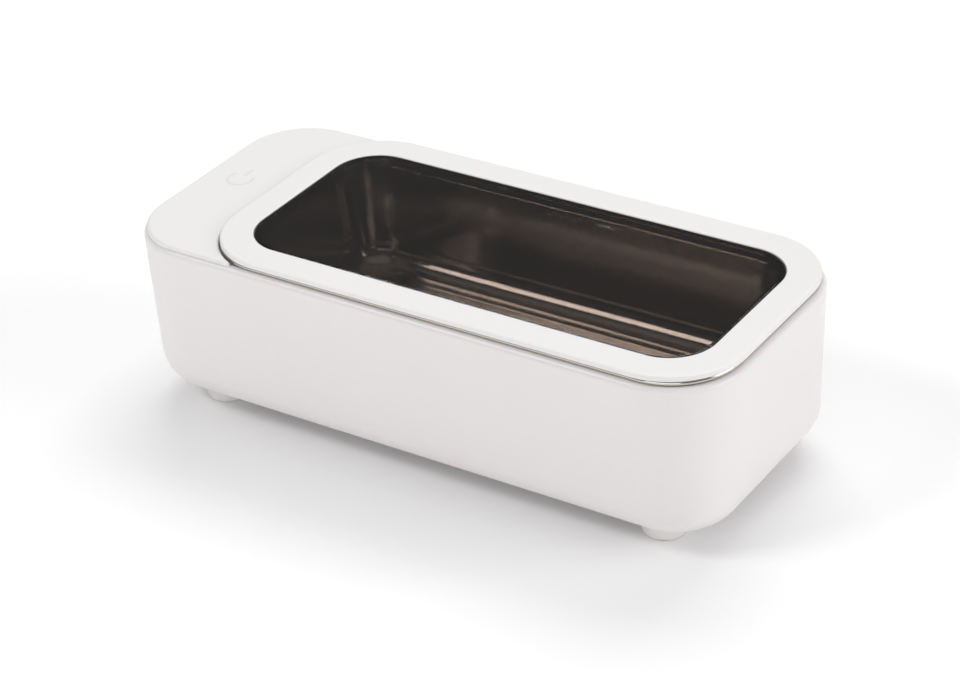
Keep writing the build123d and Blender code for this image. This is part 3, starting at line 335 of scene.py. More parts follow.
# ---- mesh helpers ----------------------------------------------------------------------------------
@dataclass(frozen=True)
class Outline:
    """A rounded rectangle seen from above, centred on the X axis.

    Attributes:
        x_low: Its left end.
        x_high: Its right end.
        half_width: Half its width, along Y.
        radius: Radius of its corners.
        corner_steps: How many straight pieces make up a corner.
    """

    x_low: float
    x_high: float
    half_width: float
    radius: float
    corner_steps: int = 24

    @classmethod
    def inside(cls, node: str, inset: float, radius: float) -> "Outline":
        """Make the outline that lies inside a CAD node's box.

        Args:
            node: Name of the node.
            inset: How far inside the box the outline lies.
            radius: Radius of its corners.

        Returns:
            The outline.
        """
        low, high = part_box(node)
        return cls(low[0] + inset, high[0] - inset, high[1] - inset, radius)

    def loop(self, inset: float, height: float) -> list[Vector]:
        """Give the outline's points, moved in by an inset, at a height.

        Args:
            inset: How far the points lie inside the outline; below zero, outside it.
            height: Z of the points.

        Returns:
            The points, anticlockwise, the same number for every outline.
        """
        radius = self.radius - inset
        arcs = []
        for quarter, (side_x, side_y) in enumerate(((1, 1), (-1, 1), (-1, -1), (1, -1))):
            centre = Vector((
                (self.x_high if side_x > 0 else self.x_low) - side_x * self.radius,
                side_y * (self.half_width - self.radius), height))
            turns = (math.radians(90 * (quarter + step / self.corner_steps))
                     for step in range(self.corner_steps + 1))
            arcs.append([centre + Vector((math.cos(t), math.sin(t), 0.0)) * radius for t in turns])
        points: list[Vector] = []
        for arc, following in zip(arcs, arcs[1:] + arcs[:1]):
            points.extend(arc)
            # points close to the corners keep the straight sides' shading flat
            points.extend(arc[-1].lerp(following[0], share) for share in SIDE_SHARES)
        return points


def skin(shell: bmesh.types.BMesh, loops: Sequence[Sequence[Vector]]) -> None:
    """Skin a row of loops, with a flat face at each end.

    Args:
        shell: Mesh that the skin joins.
        loops: Loops with the same number of points each.
    """
    rows = [[shell.verts.new(point) for point in loop] for loop in loops]
    for lower, upper in zip(rows, rows[1:]):
        for index in range(len(lower)):
            following = (index + 1) % len(lower)
            shell.faces.new((lower[index], lower[following], upper[following], upper[index]))
    shell.faces.new(rows[0])
    shell.faces.new(rows[-1])


def settle(shell: bmesh.types.BMesh, mesh: bpy.types.Mesh) -> None:
    """Write a bmesh into a mesh whose faces point outwards, smooth but for its real edges.

    Args:
        shell: The bmesh, which is freed.
        mesh: The mesh that it is written into.
    """
    bmesh.ops.recalc_face_normals(shell, faces=shell.faces)
    shell.to_mesh(mesh)
    shell.free()
    mesh.shade_smooth()
    mesh.set_sharp_from_angle(angle=math.radians(SHARP_DEG))


def loft(loops: Sequence[Sequence[Vector]], name: str) -> bpy.types.Object:
    """Make an object from a closed row of loops.

    Args:
        loops: Loops with the same number of points each.
        name: Name of the object.

    Returns:
        The object, in the scene.
    """
    shell = bmesh.new()
    skin(shell, loops)
    mesh = bpy.data.meshes.new(name)
    settle(shell, mesh)
    piece = bpy.data.objects.new(name, mesh)
    bpy.context.scene.collection.objects.link(piece)
    return piece


def arc(centre: tuple[float, float], radius: float, start_deg: float, end_deg: float,
        steps: int) -> list[tuple[float, float]]:
    """Give points on an arc of a profile.

    Args:
        centre: Inset and height of the arc's centre.
        radius: Its radius.
        start_deg: Where it starts, from the direction of growing inset towards up.
        end_deg: Where it ends.
        steps: How many straight pieces it is made of.

    Returns:
        Inset and height of each point.
    """
    turns = (math.radians(start_deg + (end_deg - start_deg) * step / steps) for step in range(steps + 1))
    return [(centre[0] + radius * math.cos(t), centre[1] + radius * math.sin(t)) for t in turns]


# ---- tank --------------------------------------------------------------------------------------------
@dataclass
class PressedTank:
    """The drawn steel basin with its flange, its rolled rim and the marks pressed into its rear wall.

    Attributes:
        sheet: Thickness of the steel.
        bead: Radius of the rolled rim.
        bead_corner: Corner radius of the rim, seen from above.
        mouth_inset: How far the basin's mouth lies inside the window's flange.
        mouth_corner: Corner radius of the mouth.
        mouth_bend: Radius where the flange turns down into the wall.
        depth: From the flange down to the floor.
        lean: How far each wall leans in over the depth.
        basin_bend: Radius where the walls turn into the floor.
        floor_step: Height of the stiffening panel pressed up in the floor.
        panel_inset: From the mouth to the edge of that panel.
        panel_slope: Width of the slope up to it.
        mark_drop: Middle of the marks below the flange.
        mark_raise: How far the marks stand out of the wall.
        level_bar_x: Middle of the fill-level bar.
        level_bar_length: Its length.
        wave_xs: Middles of the three wavelets beside it.
        wave_length: Length of a wavelet.
        line_width: Width of a mark's line.
        wave_rise: How far a wavelet swings up and down.
        wave_steps: How many straight pieces make up a wavelet.
        round_steps: How many make up the round of a line's section.
        end_shares: Where a line's rounded end is halfway, and how wide the line is there and at its tip.
        near: How far from a bend the flat beside it gets a row of points, so that its shading stays flat.
        rim_steps: How many straight pieces make up the rolled rim.
        mouth_steps: How many make up the bend at the mouth.
        basin_steps: How many make up the bend at the floor.
        panel_steps: How many make up the slope to the panel.
        hidden_mouth_steps: How many make up the mouth's bend on the hidden side.
        hidden_basin_steps: How many make up the floor's bend on the hidden side.
    """

    sheet: float = 0.6 * MM
    bead: float = 0.75 * MM
    bead_corner: float = 21.9 * MM
    mouth_inset: float = 2.86 * MM
    mouth_corner: float = 14.64 * MM
    mouth_bend: float = 1.0 * MM
    depth: float = 36.0 * MM
    lean: float = 2.8 * MM
    basin_bend: float = 8.0 * MM
    floor_step: float = 0.25 * MM
    panel_inset: float = 11.4 * MM
    panel_slope: float = 1.2 * MM
    mark_drop: float = 4.6 * MM
    mark_raise: float = 0.35 * MM
    level_bar_x: float = 26.2 * MM
    level_bar_length: float = 9.7 * MM
    wave_xs: tuple[float, ...] = (6.6 * MM, 11.0 * MM, 15.4 * MM)
    wave_length: float = 3.6 * MM
    line_width: float = 0.9 * MM
    wave_rise: float = 0.5 * MM
    wave_steps: int = 12
    round_steps: int = 8
    end_shares: tuple[float, float, float] = (0.35, 0.76, 0.08)
    near: float = 0.2 * MM
    rim_steps: int = 20
    mouth_steps: int = 8
    basin_steps: int = 18
    panel_steps: int = 5
    hidden_mouth_steps: int = 4
    hidden_basin_steps: int = 12

    def build(self) -> None:
        """Build the basin in place of its CAD node."""
        rim = Outline.inside("tank", 0.0, self.bead_corner)
        mouth = Outline.inside("lid_window", self.mouth_inset, self.mouth_corner)
        rim_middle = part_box("tank")[1][2] - self.bead
        flange_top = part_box("tank")[0][2] + self.sheet + self.depth
        loops = self._loops(rim, mouth, rim_middle, flange_top)
        piece = loft(loops, "pressed_tank")
        self._press_marks(piece, mouth, flange_top)
        piece.data.materials.append(POLISHED_STEEL.build())
        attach(piece, "body")
        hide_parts("tank")
        LOG.info("built pressed_tank with %d faces", len(piece.data.polygons))

    def _loops(self, rim: Outline, mouth: Outline, rim_middle: float,
               flange_top: float) -> list[list[Vector]]:
        """Follow the sheet's section from the floor's inside, over the rim, to the floor's outside.

        Args:
            rim: Outline of the rolled rim.
            mouth: Outline of the basin's mouth.
            rim_middle: Height of the rim's middle.
            flange_top: Height of the flange's upper face.

        Returns:
            The loops of the whole skin.
        """
        slope = math.atan(self.lean / self.depth)
        slope_deg = math.degrees(slope)
        floor_top = flange_top - self.depth
        bend_low = (
            (self.depth - self.basin_bend) * math.tan(slope) + self.basin_bend / math.cos(slope),
            floor_top + self.basin_bend)
        bend_high = (
            self.mouth_bend * (math.tan(slope) - 1.0 / math.cos(slope)), flange_top - self.mouth_bend)
        panel_rise = [
            (self.panel_inset + self.panel_slope * step / self.panel_steps,
             floor_top + self.floor_step * (1.0 - math.cos(math.pi * step / self.panel_steps)) / 2.0)
            for step in range(self.panel_steps, -1, -1)
        ]
        inner = [
            (self.mouth_corner - self.near, floor_top + self.floor_step),
            *panel_rise,
            (bend_low[0] + self.near, floor_top),
            *arc(bend_low, self.basin_bend, 270.0, 180.0 + slope_deg, self.basin_steps),
            *arc(bend_high, self.mouth_bend, slope_deg, 90.0, self.mouth_steps),
            (bend_high[0] - self.near, flange_top),
        ]
        lip_turn = math.degrees(math.asin((flange_top - rim_middle) / self.bead))
        rolled = [
            *arc((self.bead, rim_middle), self.bead, lip_turn, 270.0, self.rim_steps),
            (self.bead, flange_top - self.sheet),
        ]
        outer = [
            (bend_high[0] - self.near, flange_top - self.sheet),
            *arc(bend_high, self.mouth_bend - self.sheet, 90.0, slope_deg, self.hidden_mouth_steps),
            *arc(bend_low, self.basin_bend + self.sheet, 180.0 + slope_deg, 270.0, self.hidden_basin_steps),
            (bend_low[0] + self.near, floor_top - self.sheet),
            (self.mouth_corner - self.near, floor_top - self.sheet),
        ]
        return [
            *(mouth.loop(inset, height) for inset, height in inner),
            *(rim.loop(inset, height) for inset, height in rolled),
            *(mouth.loop(inset, height) for inset, height in outer),
        ]

    def _press_marks(self, piece: bpy.types.Object, mouth: Outline, flange_top: float) -> None:
        """Press the fill-level bar and the wavelets into the rear wall.

        Args:
            piece: The basin, which gets the marks.
            mouth: Outline of the basin's mouth.
            flange_top: Height of the flange's upper face.
        """
        lean = self.lean / self.depth
        height = flange_top - self.mark_drop
        wall_y = mouth.half_width - self.mark_drop * lean
        half_bar = (self.level_bar_length - self.line_width) / 2
        strokes = [[(self.level_bar_x - half_bar, 0.0), (self.level_bar_x + half_bar, 0.0)]]
        for middle in self.wave_xs:
            strokes.append([
                (middle + self.wave_length * (step / self.wave_steps - 0.5),
                 self.wave_rise * math.sin(-2.0 * math.pi * step / self.wave_steps))
                for step in range(self.wave_steps + 1)
            ])
        shell = bmesh.new()
        shell.from_mesh(piece.data)
        for stroke in strokes:
            on_wall = [Vector((x, wall_y + rise * lean, height + rise)) for x, rise in stroke]
            self._raise_line(shell, on_wall)
        settle(shell, piece.data)

    def _raise_line(self, shell: bmesh.types.BMesh, path: Sequence[Vector]) -> None:
        """Add a rounded line that stands out of the rear wall.

        Args:
            shell: Mesh that it joins.
            path: Its middle line, on the wall.
        """
        half = self.line_width / 2
        outward = Vector((0.0, -1.0, self.lean / self.depth)).normalized()
        start = path[0] - (path[1] - path[0]).normalized() * half
        end = path[-1] + (path[-1] - path[-2]).normalized() * half
        halfway, halfway_width, tip_width = self.end_shares
        stations = [
            (start, tip_width),
            (start.lerp(path[0], halfway), halfway_width),
            *((point, 1.0) for point in path),
            (end.lerp(path[-1], halfway), halfway_width),
            (end, tip_width),
        ]
        rows = []
        for index, (point, share) in enumerate(stations):
            before = stations[max(index - 1, 0)][0]
            after = stations[min(index + 1, len(stations) - 1)][0]
            across = outward.cross((after - before).normalized())
            row = [point - outward * self.sheet / 2 + across * half * share * side for side in (-1, 1)]
            for step in range(self.round_steps + 1):
                turn = math.pi * step / self.round_steps
                row.append(point + across * (half * share * math.cos(turn))
                           + outward * (self.mark_raise * share * math.sin(turn)))
            rows.append(row)
        skin(shell, rows)


# ---- screws and coils --------------------------------------------------------------------------------
def new_tree(name: str, sockets: dict[str, str]) -> bpy.types.NodeTree:
    """Start a geometry tree.

    Args:
        name: Name of the tree.
        sockets: Kind of socket for each named input.

    Returns:
        The tree, with its inputs and its output.
    """
    tree = bpy.data.node_groups.new(name, "GeometryNodeTree")
    tree.interface.new_socket(name="Geometry", in_out="INPUT", socket_type="NodeSocketGeometry")
    for socket_name, kind in sockets.items():
        tree.interface.new_socket(name=socket_name, in_out="INPUT", socket_type=kind)
    tree.interface.new_socket(name="Geometry", in_out="OUTPUT", socket_type="NodeSocketGeometry")
    return tree


def math_node(tree: bpy.types.NodeTree, operation: str, first: Any, second: Any) -> bpy.types.NodeSocket:
    """Work out one sum of two values or sockets.

    Args:
        tree: Tree that the sum joins.
        operation: Kind of sum, such as "ADD".
        first: First value or socket.
        second: Second value or socket.

    Returns:
        Socket of the result.
    """
    return add_node(tree, "ShaderNodeMath", {"operation": operation}, {0: first, 1: second}).outputs[0]


def close_tree(tree: bpy.types.NodeTree, instances: bpy.types.NodeSocket,
               material: bpy.types.NodeSocket) -> None:
    """End a tree in real geometry with its material.

    Args:
        tree: The tree.
        instances: What it has made.
        material: Socket that gives the material.
    """
    realized = add_node(tree, "GeometryNodeRealizeInstances", None, {"Geometry": instances})
    dressed = add_node(tree, "GeometryNodeSetMaterial", None, {
        "Geometry": realized.outputs["Geometry"], "Material": material})
    add_node(tree, "NodeGroupOutput", None, {"Geometry": dressed.outputs["Geometry"]})


def grow(tree: bpy.types.NodeTree, name: str, points: Iterable[Point],
         values: dict[str, Any]) -> bpy.types.Object:
    """Run a geometry tree on some points and keep the result as a plain mesh.

    Args:
        tree: The tree.
        name: Name of the finished piece.
        points: Points that the tree starts from.
        values: Value of each named input.

    Returns:
        The finished piece, without a modifier.
    """
    seeds = bpy.data.meshes.new(name + "_seeds")
    seeds.from_pydata([tuple(point) for point in points], [], [])
    piece = bpy.data.objects.new(name, seeds)
    bpy.context.scene.collection.objects.link(piece)
    modifier = piece.modifiers.new("grow", "NODES")
    modifier.node_group = tree
    for item in tree.interface.items_tree:
        if item.in_out == "INPUT" and item.name in values:
            modifier[item.identifier] = values[item.name]
    evaluated = piece.evaluated_get(bpy.context.evaluated_depsgraph_get())
    mesh = bpy.data.meshes.new_from_object(evaluated)
    piece.modifiers.remove(modifier)
    piece.data = mesh
    bpy.data.meshes.remove(seeds)
    return piece


@dataclass
class PanHeadScrews:
    """Pan-head screws with a cross recess and a rolled thread.

    Attributes:
        head_radius: Radius of the head.
        head_height: Its height.
        shank_radius: Radius over the thread.
        thread_pitch: From one turn of the thread to the next.
        thread_depth: Depth of the thread.
        recess_length: Length of each slot of the cross.
        recess_width: Its width.
        recess_depth: Its depth.
        sides: How many sides the screw has.
        rings: How many rings of faces run along it.
        crown_power: How square the head's shoulder is.
        crown_flat: Share of the head's width that stays flat on top, squared.
    """

    head_radius: float = 2.1 * MM
    head_height: float = 1.4 * MM
    shank_radius: float = 1.1 * MM
    thread_pitch: float = 0.8 * MM
    thread_depth: float = 0.25 * MM
    recess_length: float = 2.2 * MM
    recess_width: float = 0.6 * MM
    recess_depth: float = 0.8 * MM
    sides: int = 28
    rings: int = 90
    crown_power: float = 3.2
    crown_flat: float = 0.12

    def build(self) -> None:
        """Build the three sets of screws in place of their CAD nodes."""
        tree = self._tree()
        upward, rightward = (0.0, 0.0, 0.0), (0.0, math.pi / 2, 0.0)
        for node, axis, turn in (("base_screws", 2, upward), ("control_screws", 2, upward),
                                 ("driver_screws", 0, rightward)):
            low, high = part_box(node)
            flat = [each for each in range(3) if each != axis]
            seats = []
            for first in (low[flat[0]] + self.head_radius, high[flat[0]] - self.head_radius):
                for second in (low[flat[1]] + self.head_radius, high[flat[1]] - self.head_radius):
                    seat = [0.0, 0.0, 0.0]
                    seat[axis] = low[axis]
                    seat[flat[0]], seat[flat[1]] = first, second
                    seats.append(tuple(seat))
            piece = grow(tree, node + "_threaded", seats, {
                "Head Radius": self.head_radius, "Head Height": self.head_height,
                "Shank Radius": self.shank_radius, "Length": high[axis] - low[axis],
                "Thread Pitch": self.thread_pitch, "Thread Depth": self.thread_depth,
                "Recess Length": self.recess_length, "Recess Width": self.recess_width,
                "Recess Depth": self.recess_depth, "Turn": turn, "Material": ZINC_STEEL.build(),
            })
            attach(piece, "body")
            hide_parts(node)
            LOG.info("built %s with %d faces", piece.name, len(piece.data.polygons))

    def _tree(self) -> bpy.types.NodeTree:
        """Make the tree that turns one screw and sets it on every seat.

        Returns:
            The geometry tree.
        """
        sizes = ("Head Radius", "Head Height", "Shank Radius", "Length", "Thread Pitch", "Thread Depth",
                 "Recess Length", "Recess Width", "Recess Depth")
        sockets = {name: "NodeSocketFloat" for name in sizes}
        sockets.update({"Turn": "NodeSocketVector", "Material": "NodeSocketMaterial"})
        tree = new_tree("pan_head_screws", sockets)
        given = add_node(tree, "NodeGroupInput").outputs
        blank = add_node(tree, "GeometryNodeMeshCylinder", {"fill_type": "NGON"}, {
            "Vertices": self.sides, "Side Segments": self.rings, "Radius": 1.0, "Depth": given["Length"]})
        half = math_node(tree, "MULTIPLY", given["Length"], 0.5)
        lift = add_node(tree, "ShaderNodeCombineXYZ", None, {"Z": half})
        raised = add_node(tree, "GeometryNodeTransform", None, {
            "Geometry": blank.outputs["Mesh"], "Translation": lift.outputs["Vector"]})
        place = add_node(tree, "ShaderNodeSeparateXYZ", None, {
            "Vector": add_node(tree, "GeometryNodeInputPosition").outputs["Position"]}).outputs
        around = math_node(tree, "ARCTAN2", place["Y"], place["X"])
        # the head: a flat crown with a rounded shoulder
        from_rim = math_node(tree, "SUBTRACT", given["Head Height"], place["Z"])
        share = math_node(tree, "DIVIDE", from_rim, given["Head Height"])
        fallen = math_node(tree, "POWER", share, self.crown_power)
        left_over = math_node(tree, "SUBTRACT", 1.0, fallen)
        crown = math_node(tree, "SQRT", math_node(tree, "MAXIMUM", left_over, self.crown_flat), 0.0)
        head = math_node(tree, "MULTIPLY", crown, given["Head Radius"])
        # the thread: a ridge that climbs by one pitch in each turn
        climb = math_node(tree, "ADD", math_node(tree, "DIVIDE", place["Z"], given["Thread Pitch"]),
                          math_node(tree, "DIVIDE", around, 2.0 * math.pi))
        ridge = math_node(tree, "PINGPONG", climb, 0.5)
        groove = math_node(tree, "MULTIPLY", math_node(tree, "MULTIPLY", ridge, 2.0), given["Thread Depth"])
        thread = math_node(tree, "SUBTRACT", given["Shank Radius"], groove)
        is_head = math_node(tree, "LESS_THAN", place["Z"], given["Head Height"])
        radius = add_node(tree, "GeometryNodeSwitch", {"input_type": "FLOAT"}, {
            "Switch": is_head, "False": thread, "True": head}).outputs["Output"]
        turned = add_node(tree, "ShaderNodeCombineXYZ", None, {
            "X": math_node(tree, "MULTIPLY", place["X"], radius),
            "Y": math_node(tree, "MULTIPLY", place["Y"], radius), "Z": place["Z"]})
        screw = add_node(tree, "GeometryNodeSetPosition", None, {
            "Geometry": raised.outputs["Geometry"], "Position": turned.outputs["Vector"]})
        deep = math_node(tree, "MULTIPLY", given["Recess Depth"], 2.0)
        slots = []
        for long_way in ("X", "Y"):
            other = "Y" if long_way == "X" else "X"
            size = add_node(tree, "ShaderNodeCombineXYZ", None, {
                long_way: given["Recess Length"], other: given["Recess Width"], "Z": deep})
            slots.append(add_node(tree, "GeometryNodeMeshCube", None, {"Size": size.outputs["Vector"]}))
        cut = screw.outputs["Geometry"]
        for slot in slots:
            boolean = add_node(tree, "GeometryNodeMeshBoolean", {"operation": "DIFFERENCE"}, {"Mesh 1": cut})
            tree.links.new(slot.outputs["Mesh"], boolean.inputs["Mesh 2"])
            cut = boolean.outputs["Mesh"]
        placed = add_node(tree, "GeometryNodeInstanceOnPoints", None, {
            "Points": given["Geometry"], "Instance": cut, "Rotation": given["Turn"]})
        close_tree(tree, placed.outputs["Instances"], given["Material"])
        return tree


@dataclass
class WoundCoils:
    """The enamelled windings of the transformer and of the choke.

    Attributes:
        wire: Diameter of the enamelled wire.
        transformer_corner: Corner radius of the transformer's outer turns.
        wire_sides: How many sides the wire has.
        corner_share: Share of its radius that a corner keeps, so that full rounds leave a sliver of a side.
        corner_points: Points in each corner of a turn.
    """

    wire: float = 0.5 * MM
    transformer_corner: float = 2.34 * MM
    wire_sides: int = 8
    corner_share: float = 0.999
    corner_points: int = 6

    def build(self) -> None:
        """Wind both coils in place of their CAD nodes."""
        tree = self._tree()
        upright, along_board = (0.0, 0.0, 0.0), (0.0, math.pi / 2, 0.0)
        self._wind(tree, "transformer_coil", 2, upright, self.transformer_corner)
        low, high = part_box("choke_coil")
        self._wind(tree, "choke_coil", 0, along_board, (high[1] - low[1] - self.wire) / 2)

    def _wind(self, tree: bpy.types.NodeTree, node: str, axis: int, turn: Point, corner: float) -> None:
        """Wind one coil inside its CAD node's box.

        Args:
            tree: The tree that winds.
            node: Name of the CAD node.
            axis: Number of the axis that the turns go round.
            turn: Rotation from an upright coil.
            corner: Corner radius of a turn.
        """
        low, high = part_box(node)
        spans = [top - bottom for bottom, top in zip(low, high)]
        middle = [(top + bottom) / 2 for bottom, top in zip(low, high)]
        turns = int(spans[axis] / self.wire)
        length_x = spans[0] if axis == 2 else spans[2]
        piece = grow(tree, node + "_wound", [tuple(middle)], {
            "Length X": length_x - self.wire, "Length Y": spans[1] - self.wire,
            "Corner Radius": corner * self.corner_share, "Wire Radius": self.wire / 2, "Turns": turns,
            "Pitch": (spans[axis] - self.wire) / (turns - 1), "Turn": turn, "Material": COPPER.build(),
        })
        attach(piece, "body")
        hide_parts(node)
        LOG.info("wound %s with %d turns", piece.name, turns)

    def _tree(self) -> bpy.types.NodeTree:
        """Make the tree that winds a coil round each of its points.

        Returns:
            The geometry tree.
        """
        sockets = {name: "NodeSocketFloat" for name in (
            "Length X", "Length Y", "Corner Radius", "Wire Radius", "Pitch")}
        sockets.update({
            "Turns": "NodeSocketInt", "Turn": "NodeSocketVector", "Material": "NodeSocketMaterial"})
        tree = new_tree("coil_turns", sockets)
        given = add_node(tree, "NodeGroupInput").outputs
        square = add_node(tree, "GeometryNodeCurvePrimitiveQuadrilateral", None, {
            "Width": given["Length X"], "Height": given["Length Y"]})
        rounded = add_node(tree, "GeometryNodeFilletCurve", {"mode": "POLY"}, {
            "Curve": square.outputs["Curve"], "Radius": given["Corner Radius"],
            "Count": self.corner_points})
        section = add_node(tree, "GeometryNodeCurvePrimitiveCircle", {"mode": "RADIUS"}, {
            "Resolution": self.wire_sides, "Radius": given["Wire Radius"]})
        wire = add_node(tree, "GeometryNodeCurveToMesh", None, {
            "Curve": rounded.outputs["Curve"], "Profile Curve": section.outputs["Curve"]})
        steps = add_node(tree, "ShaderNodeCombineXYZ", None, {"Z": given["Pitch"]})
        gaps = math_node(tree, "SUBTRACT", given["Turns"], 1.0)
        start = math_node(tree, "MULTIPLY", math_node(tree, "MULTIPLY", gaps, given["Pitch"]), -0.5)
        stack = add_node(tree, "GeometryNodeMeshLine", None, {
            "Count": given["Turns"], "Offset": steps.outputs["Vector"],
            "Start Location": add_node(tree, "ShaderNodeCombineXYZ", None, {"Z": start}).outputs["Vector"]})
        turns = add_node(tree, "GeometryNodeInstanceOnPoints", None, {
            "Points": stack.outputs["Mesh"], "Instance": wire.outputs["Mesh"]})
        coil = add_node(tree, "GeometryNodeInstanceOnPoints", None, {
            "Points": given["Geometry"], "Instance": turns.outputs["Instances"], "Rotation": given["Turn"]})
        close_tree(tree, coil.outputs["Instances"], given["Material"])
        return tree


# ---- parts that keep their CAD shape -----------------------------------------------------------------
@dataclass
class SubAssembly:
    """Parts that go together, keep their CAD shape and only need their finish.

    Attributes:
        name: What they are.
        finishes: Finish of each CAD node.
    """

    name: str
    finishes: dict[str, Finish | SmokedAcrylic]

    def build(self) -> None:
        """Put each node's finish on all of its slots."""
        for node, finish in self.finishes.items():
            material = finish.build()
            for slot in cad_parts[node].material_slots:
                slot.material = material
            LOG.info("%s: dressed %s in %s", self.name, node, material.name)


SUB_ASSEMBLIES = (
    SubAssembly("tub", {
        "housing": WHITE_ABS,
        "base_cover": TEXTURED_ABS,
        "foot_front_left": WHITE_SILICONE,
        "foot_front_right": WHITE_SILICONE,
        "foot_rear_left": WHITE_SILICONE,
        "foot_rear_right": WHITE_SILICONE,
        "tank_gasket": GREY_SILICONE,
    }),
    SubAssembly("lid", {
        "lid_ring": WHITE_MATT_ABS,
        "lid_window": SMOKED_ACRYLIC,
        "lid_pads": CLEAR_SILICONE,
    }),
    SubAssembly("transducer", {
        "transducer_block": ALUMINIUM,
        "piezo_disc": PIEZO_CERAMIC,
        "electrode_live": BRASS,
        "electrode_return": BRASS,
    }),
    SubAssembly("control deck", {
        "deck": WHITE_MATT_ABS,
        "touch_icon": ICON_INLAY,
        "control_board": SOLDER_MASK,
        "touch_pad": FOAM,
        "status_led": LED_RESIN,
        "controller_chip": BLACK_PLASTIC,
        "buzzer": BLACK_PLASTIC,
    }),
    SubAssembly("driver board", {
        "driver_board": SOLDER_MASK,
        "transformer_core": FERRITE,
        "transformer_bobbin": BLACK_PLASTIC,
        "choke_core": FERRITE,
        "bulk_capacitor": BLUE_SLEEVE,
        "film_capacitor": RED_RESIN,
        "heatsink": ALUMINIUM,
        "power_transistor": BLACK_PLASTIC,
        "transducer_socket": WHITE_NYLON,
        "power_socket": WHITE_NYLON,
        "signal_socket": WHITE_NYLON,
    }),
    SubAssembly("power inlet", {
        "dc_jack_body": BLACK_PLASTIC,
        "dc_jack_pin": BRASS,
        "dc_jack_nut": ZINC_STEEL,
        "dc_jack_lugs": BRASS,
    }),
    SubAssembly("leads", {
        "transducer_lead_live": RED_LEAD,
        "transducer_lead_return": BLACK_LEAD,
        "power_lead_positive": RED_LEAD,
        "power_lead_negative": BLACK_LEAD,
        "signal_ribbon": RIBBON_GREY,
    }),
)


# ---- studio ----------------------------------------------------------------------------------------
@dataclass
class Softbox:
    """A rectangular lamp with a diffuser.

    Attributes:
        name: Name of the lamp.
        place: Where its middle is.
        target: What it points at.
        size: Width and height.
        power: Watts.
        colour: sRGB colour.
    """

    name: str
    place: Point
    target: Point
    size: tuple[float, float]
    power: float
    colour: str = "FFFFFF"

    def build(self) -> None:
        """Add the lamp to the scene."""
        lamp = bpy.data.lights.new(self.name, "AREA")
        lamp.shape = "RECTANGLE"
        lamp.size, lamp.size_y = self.size
        lamp.energy = self.power
        lamp.color = linear(self.colour)[:3]
        holder = bpy.data.objects.new(self.name, lamp)
        holder.location = self.place
        aim = Vector(self.target) - Vector(self.place)
        holder.rotation_euler = aim.to_track_quat("-Z", "Y").to_euler()
        bpy.context.scene.collection.objects.link(holder)


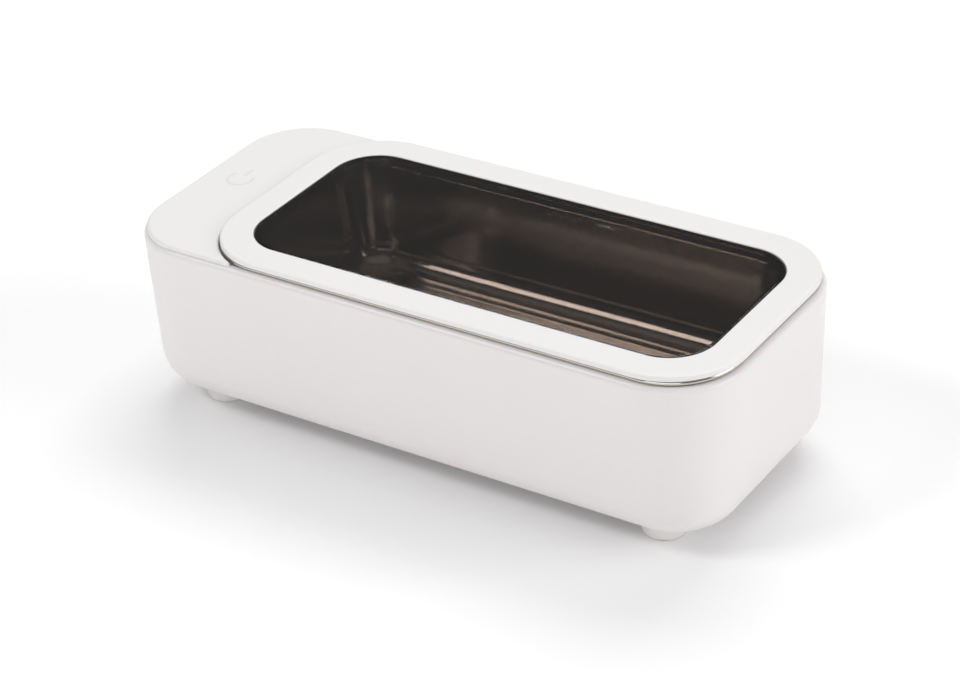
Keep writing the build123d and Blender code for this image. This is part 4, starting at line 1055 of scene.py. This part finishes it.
@dataclass
class Studio:
    """Floor, lamps, surroundings and camera.

    Attributes:
        floor_half_m: Half the side of the floor.
        floor_colour: sRGB colour of the floor.
        floor_roughness: Roughness of its paper.
        floor_gloss: Specular level of its paper.
        surround: Brightness of the room round the object.
        yaw_deg: How far the camera stands round from the front, towards the tank end.
        pitch_deg: How far it looks down.
        roll_deg: How far it leans.
        focal_mm: Focal length of the lens.
        sensor_mm: Width of the sensor.
        target_mm: Point that it looks at.
        distance_mm: How far away it stands.
        reach_m: How far it sees.
        softboxes: The lamps.
    """

    floor_half_m: float = 4.0
    floor_colour: str = "FFFFFF"
    floor_roughness: float = 0.9
    floor_gloss: float = 0.1
    surround: float = 0.20
    yaw_deg: float = 34.50
    pitch_deg: float = 31.00
    roll_deg: float = -3.43
    focal_mm: float = 104.143875
    sensor_mm: float = 36.0
    target_mm: Point = (-0.46, 0.0, 26.32)
    distance_mm: float = 865.71
    reach_m: float = 50.0
    softboxes: Sequence[Softbox] = field(default_factory=lambda: (
        Softbox("overhead_softbox", (0.20, 0.30, 2.20), (0.0, 0.0, 0.0), (3.0, 3.0), 14.0),
        Softbox("key_softbox", (-0.30, 1.00, 1.50), (0.0, 0.0, 0.03), (1.4, 0.9), 13.0),
        Softbox("strip_softbox", (-0.62, -0.70, 1.05), (0.0, 0.0, 0.03), (0.45, 0.35), 4.8),
        Softbox("front_softbox", (0.60, -2.20, 0.75), (0.0, 0.0, 0.03), (2.2, 1.2), 15.0),
        Softbox("right_softbox", (2.10, 0.70, 0.90), (0.0, 0.0, 0.03), (1.5, 1.4), 22.0),
    ))

    def build(self) -> None:
        """Make the floor, the lamps, the surroundings and the camera."""
        self._floor()
        self._surroundings()
        self._camera()
        for softbox in self.softboxes:
            softbox.build()

    def _floor(self) -> None:
        """Lay a plain pale sheet under the feet."""
        mesh = bpy.data.meshes.new("floor")
        half = self.floor_half_m
        corners = [(-half, -half, 0.0), (half, -half, 0.0), (half, half, 0.0), (-half, half, 0.0)]
        mesh.from_pydata(corners, [], [(0, 1, 2, 3)])
        floor = bpy.data.objects.new("floor", mesh)
        bpy.context.scene.collection.objects.link(floor)
        paper = bpy.data.materials.new("floor_paper")
        paper.use_nodes = True
        shader = paper.node_tree.nodes["Principled BSDF"]
        shader.inputs["Base Color"].default_value = linear(self.floor_colour)
        shader.inputs["Roughness"].default_value = self.floor_roughness
        shader.inputs["Specular IOR Level"].default_value = self.floor_gloss
        mesh.materials.append(paper)

    def _surroundings(self) -> None:
        """Light the room evenly and softly."""
        world = bpy.data.worlds.new("studio")
        world.use_nodes = True
        background = world.node_tree.nodes["Background"]
        background.inputs["Color"].default_value = linear("FFFFFF")
        background.inputs["Strength"].default_value = self.surround
        bpy.context.scene.world = world
        bpy.context.scene.view_settings.view_transform = "Standard"

    def _camera(self) -> None:
        """Set the camera at its place, looking down on the front and the tank end."""
        yaw, pitch, roll = (math.radians(each) for each in (self.yaw_deg, self.pitch_deg, self.roll_deg))
        ahead = Vector((
            -math.sin(yaw) * math.cos(pitch), math.cos(yaw) * math.cos(pitch), -math.sin(pitch)))
        level = Vector((math.cos(yaw), math.sin(yaw), 0.0))
        rise = level.cross(ahead)
        right = math.cos(roll) * level + math.sin(roll) * rise
        upward = right.cross(ahead)
        lens = bpy.data.cameras.new("camera")
        lens.sensor_fit = "HORIZONTAL"
        lens.sensor_width = self.sensor_mm
        lens.lens = self.focal_mm
        lens.clip_end = self.reach_m
        camera = bpy.data.objects.new("camera", lens)
        turn = Matrix((right, upward, -ahead)).transposed()
        stand = Vector(self.target_mm) * MM - ahead * (self.distance_mm * MM)
        camera.matrix_world = Matrix.Translation(stand) @ turn.to_4x4()
        bpy.context.scene.collection.objects.link(camera)
        bpy.context.scene.camera = camera


def main() -> None:
    """Build the studio and the pieces."""
    logging.basicConfig(level=logging.INFO, format="%(name)s: %(message)s")
    Studio().build()
    for sub_assembly in SUB_ASSEMBLIES:
        sub_assembly.build()
    PressedTank().build()
    PanHeadScrews().build()
    WoundCoils().build()


if __name__ == "__main__":
    main()
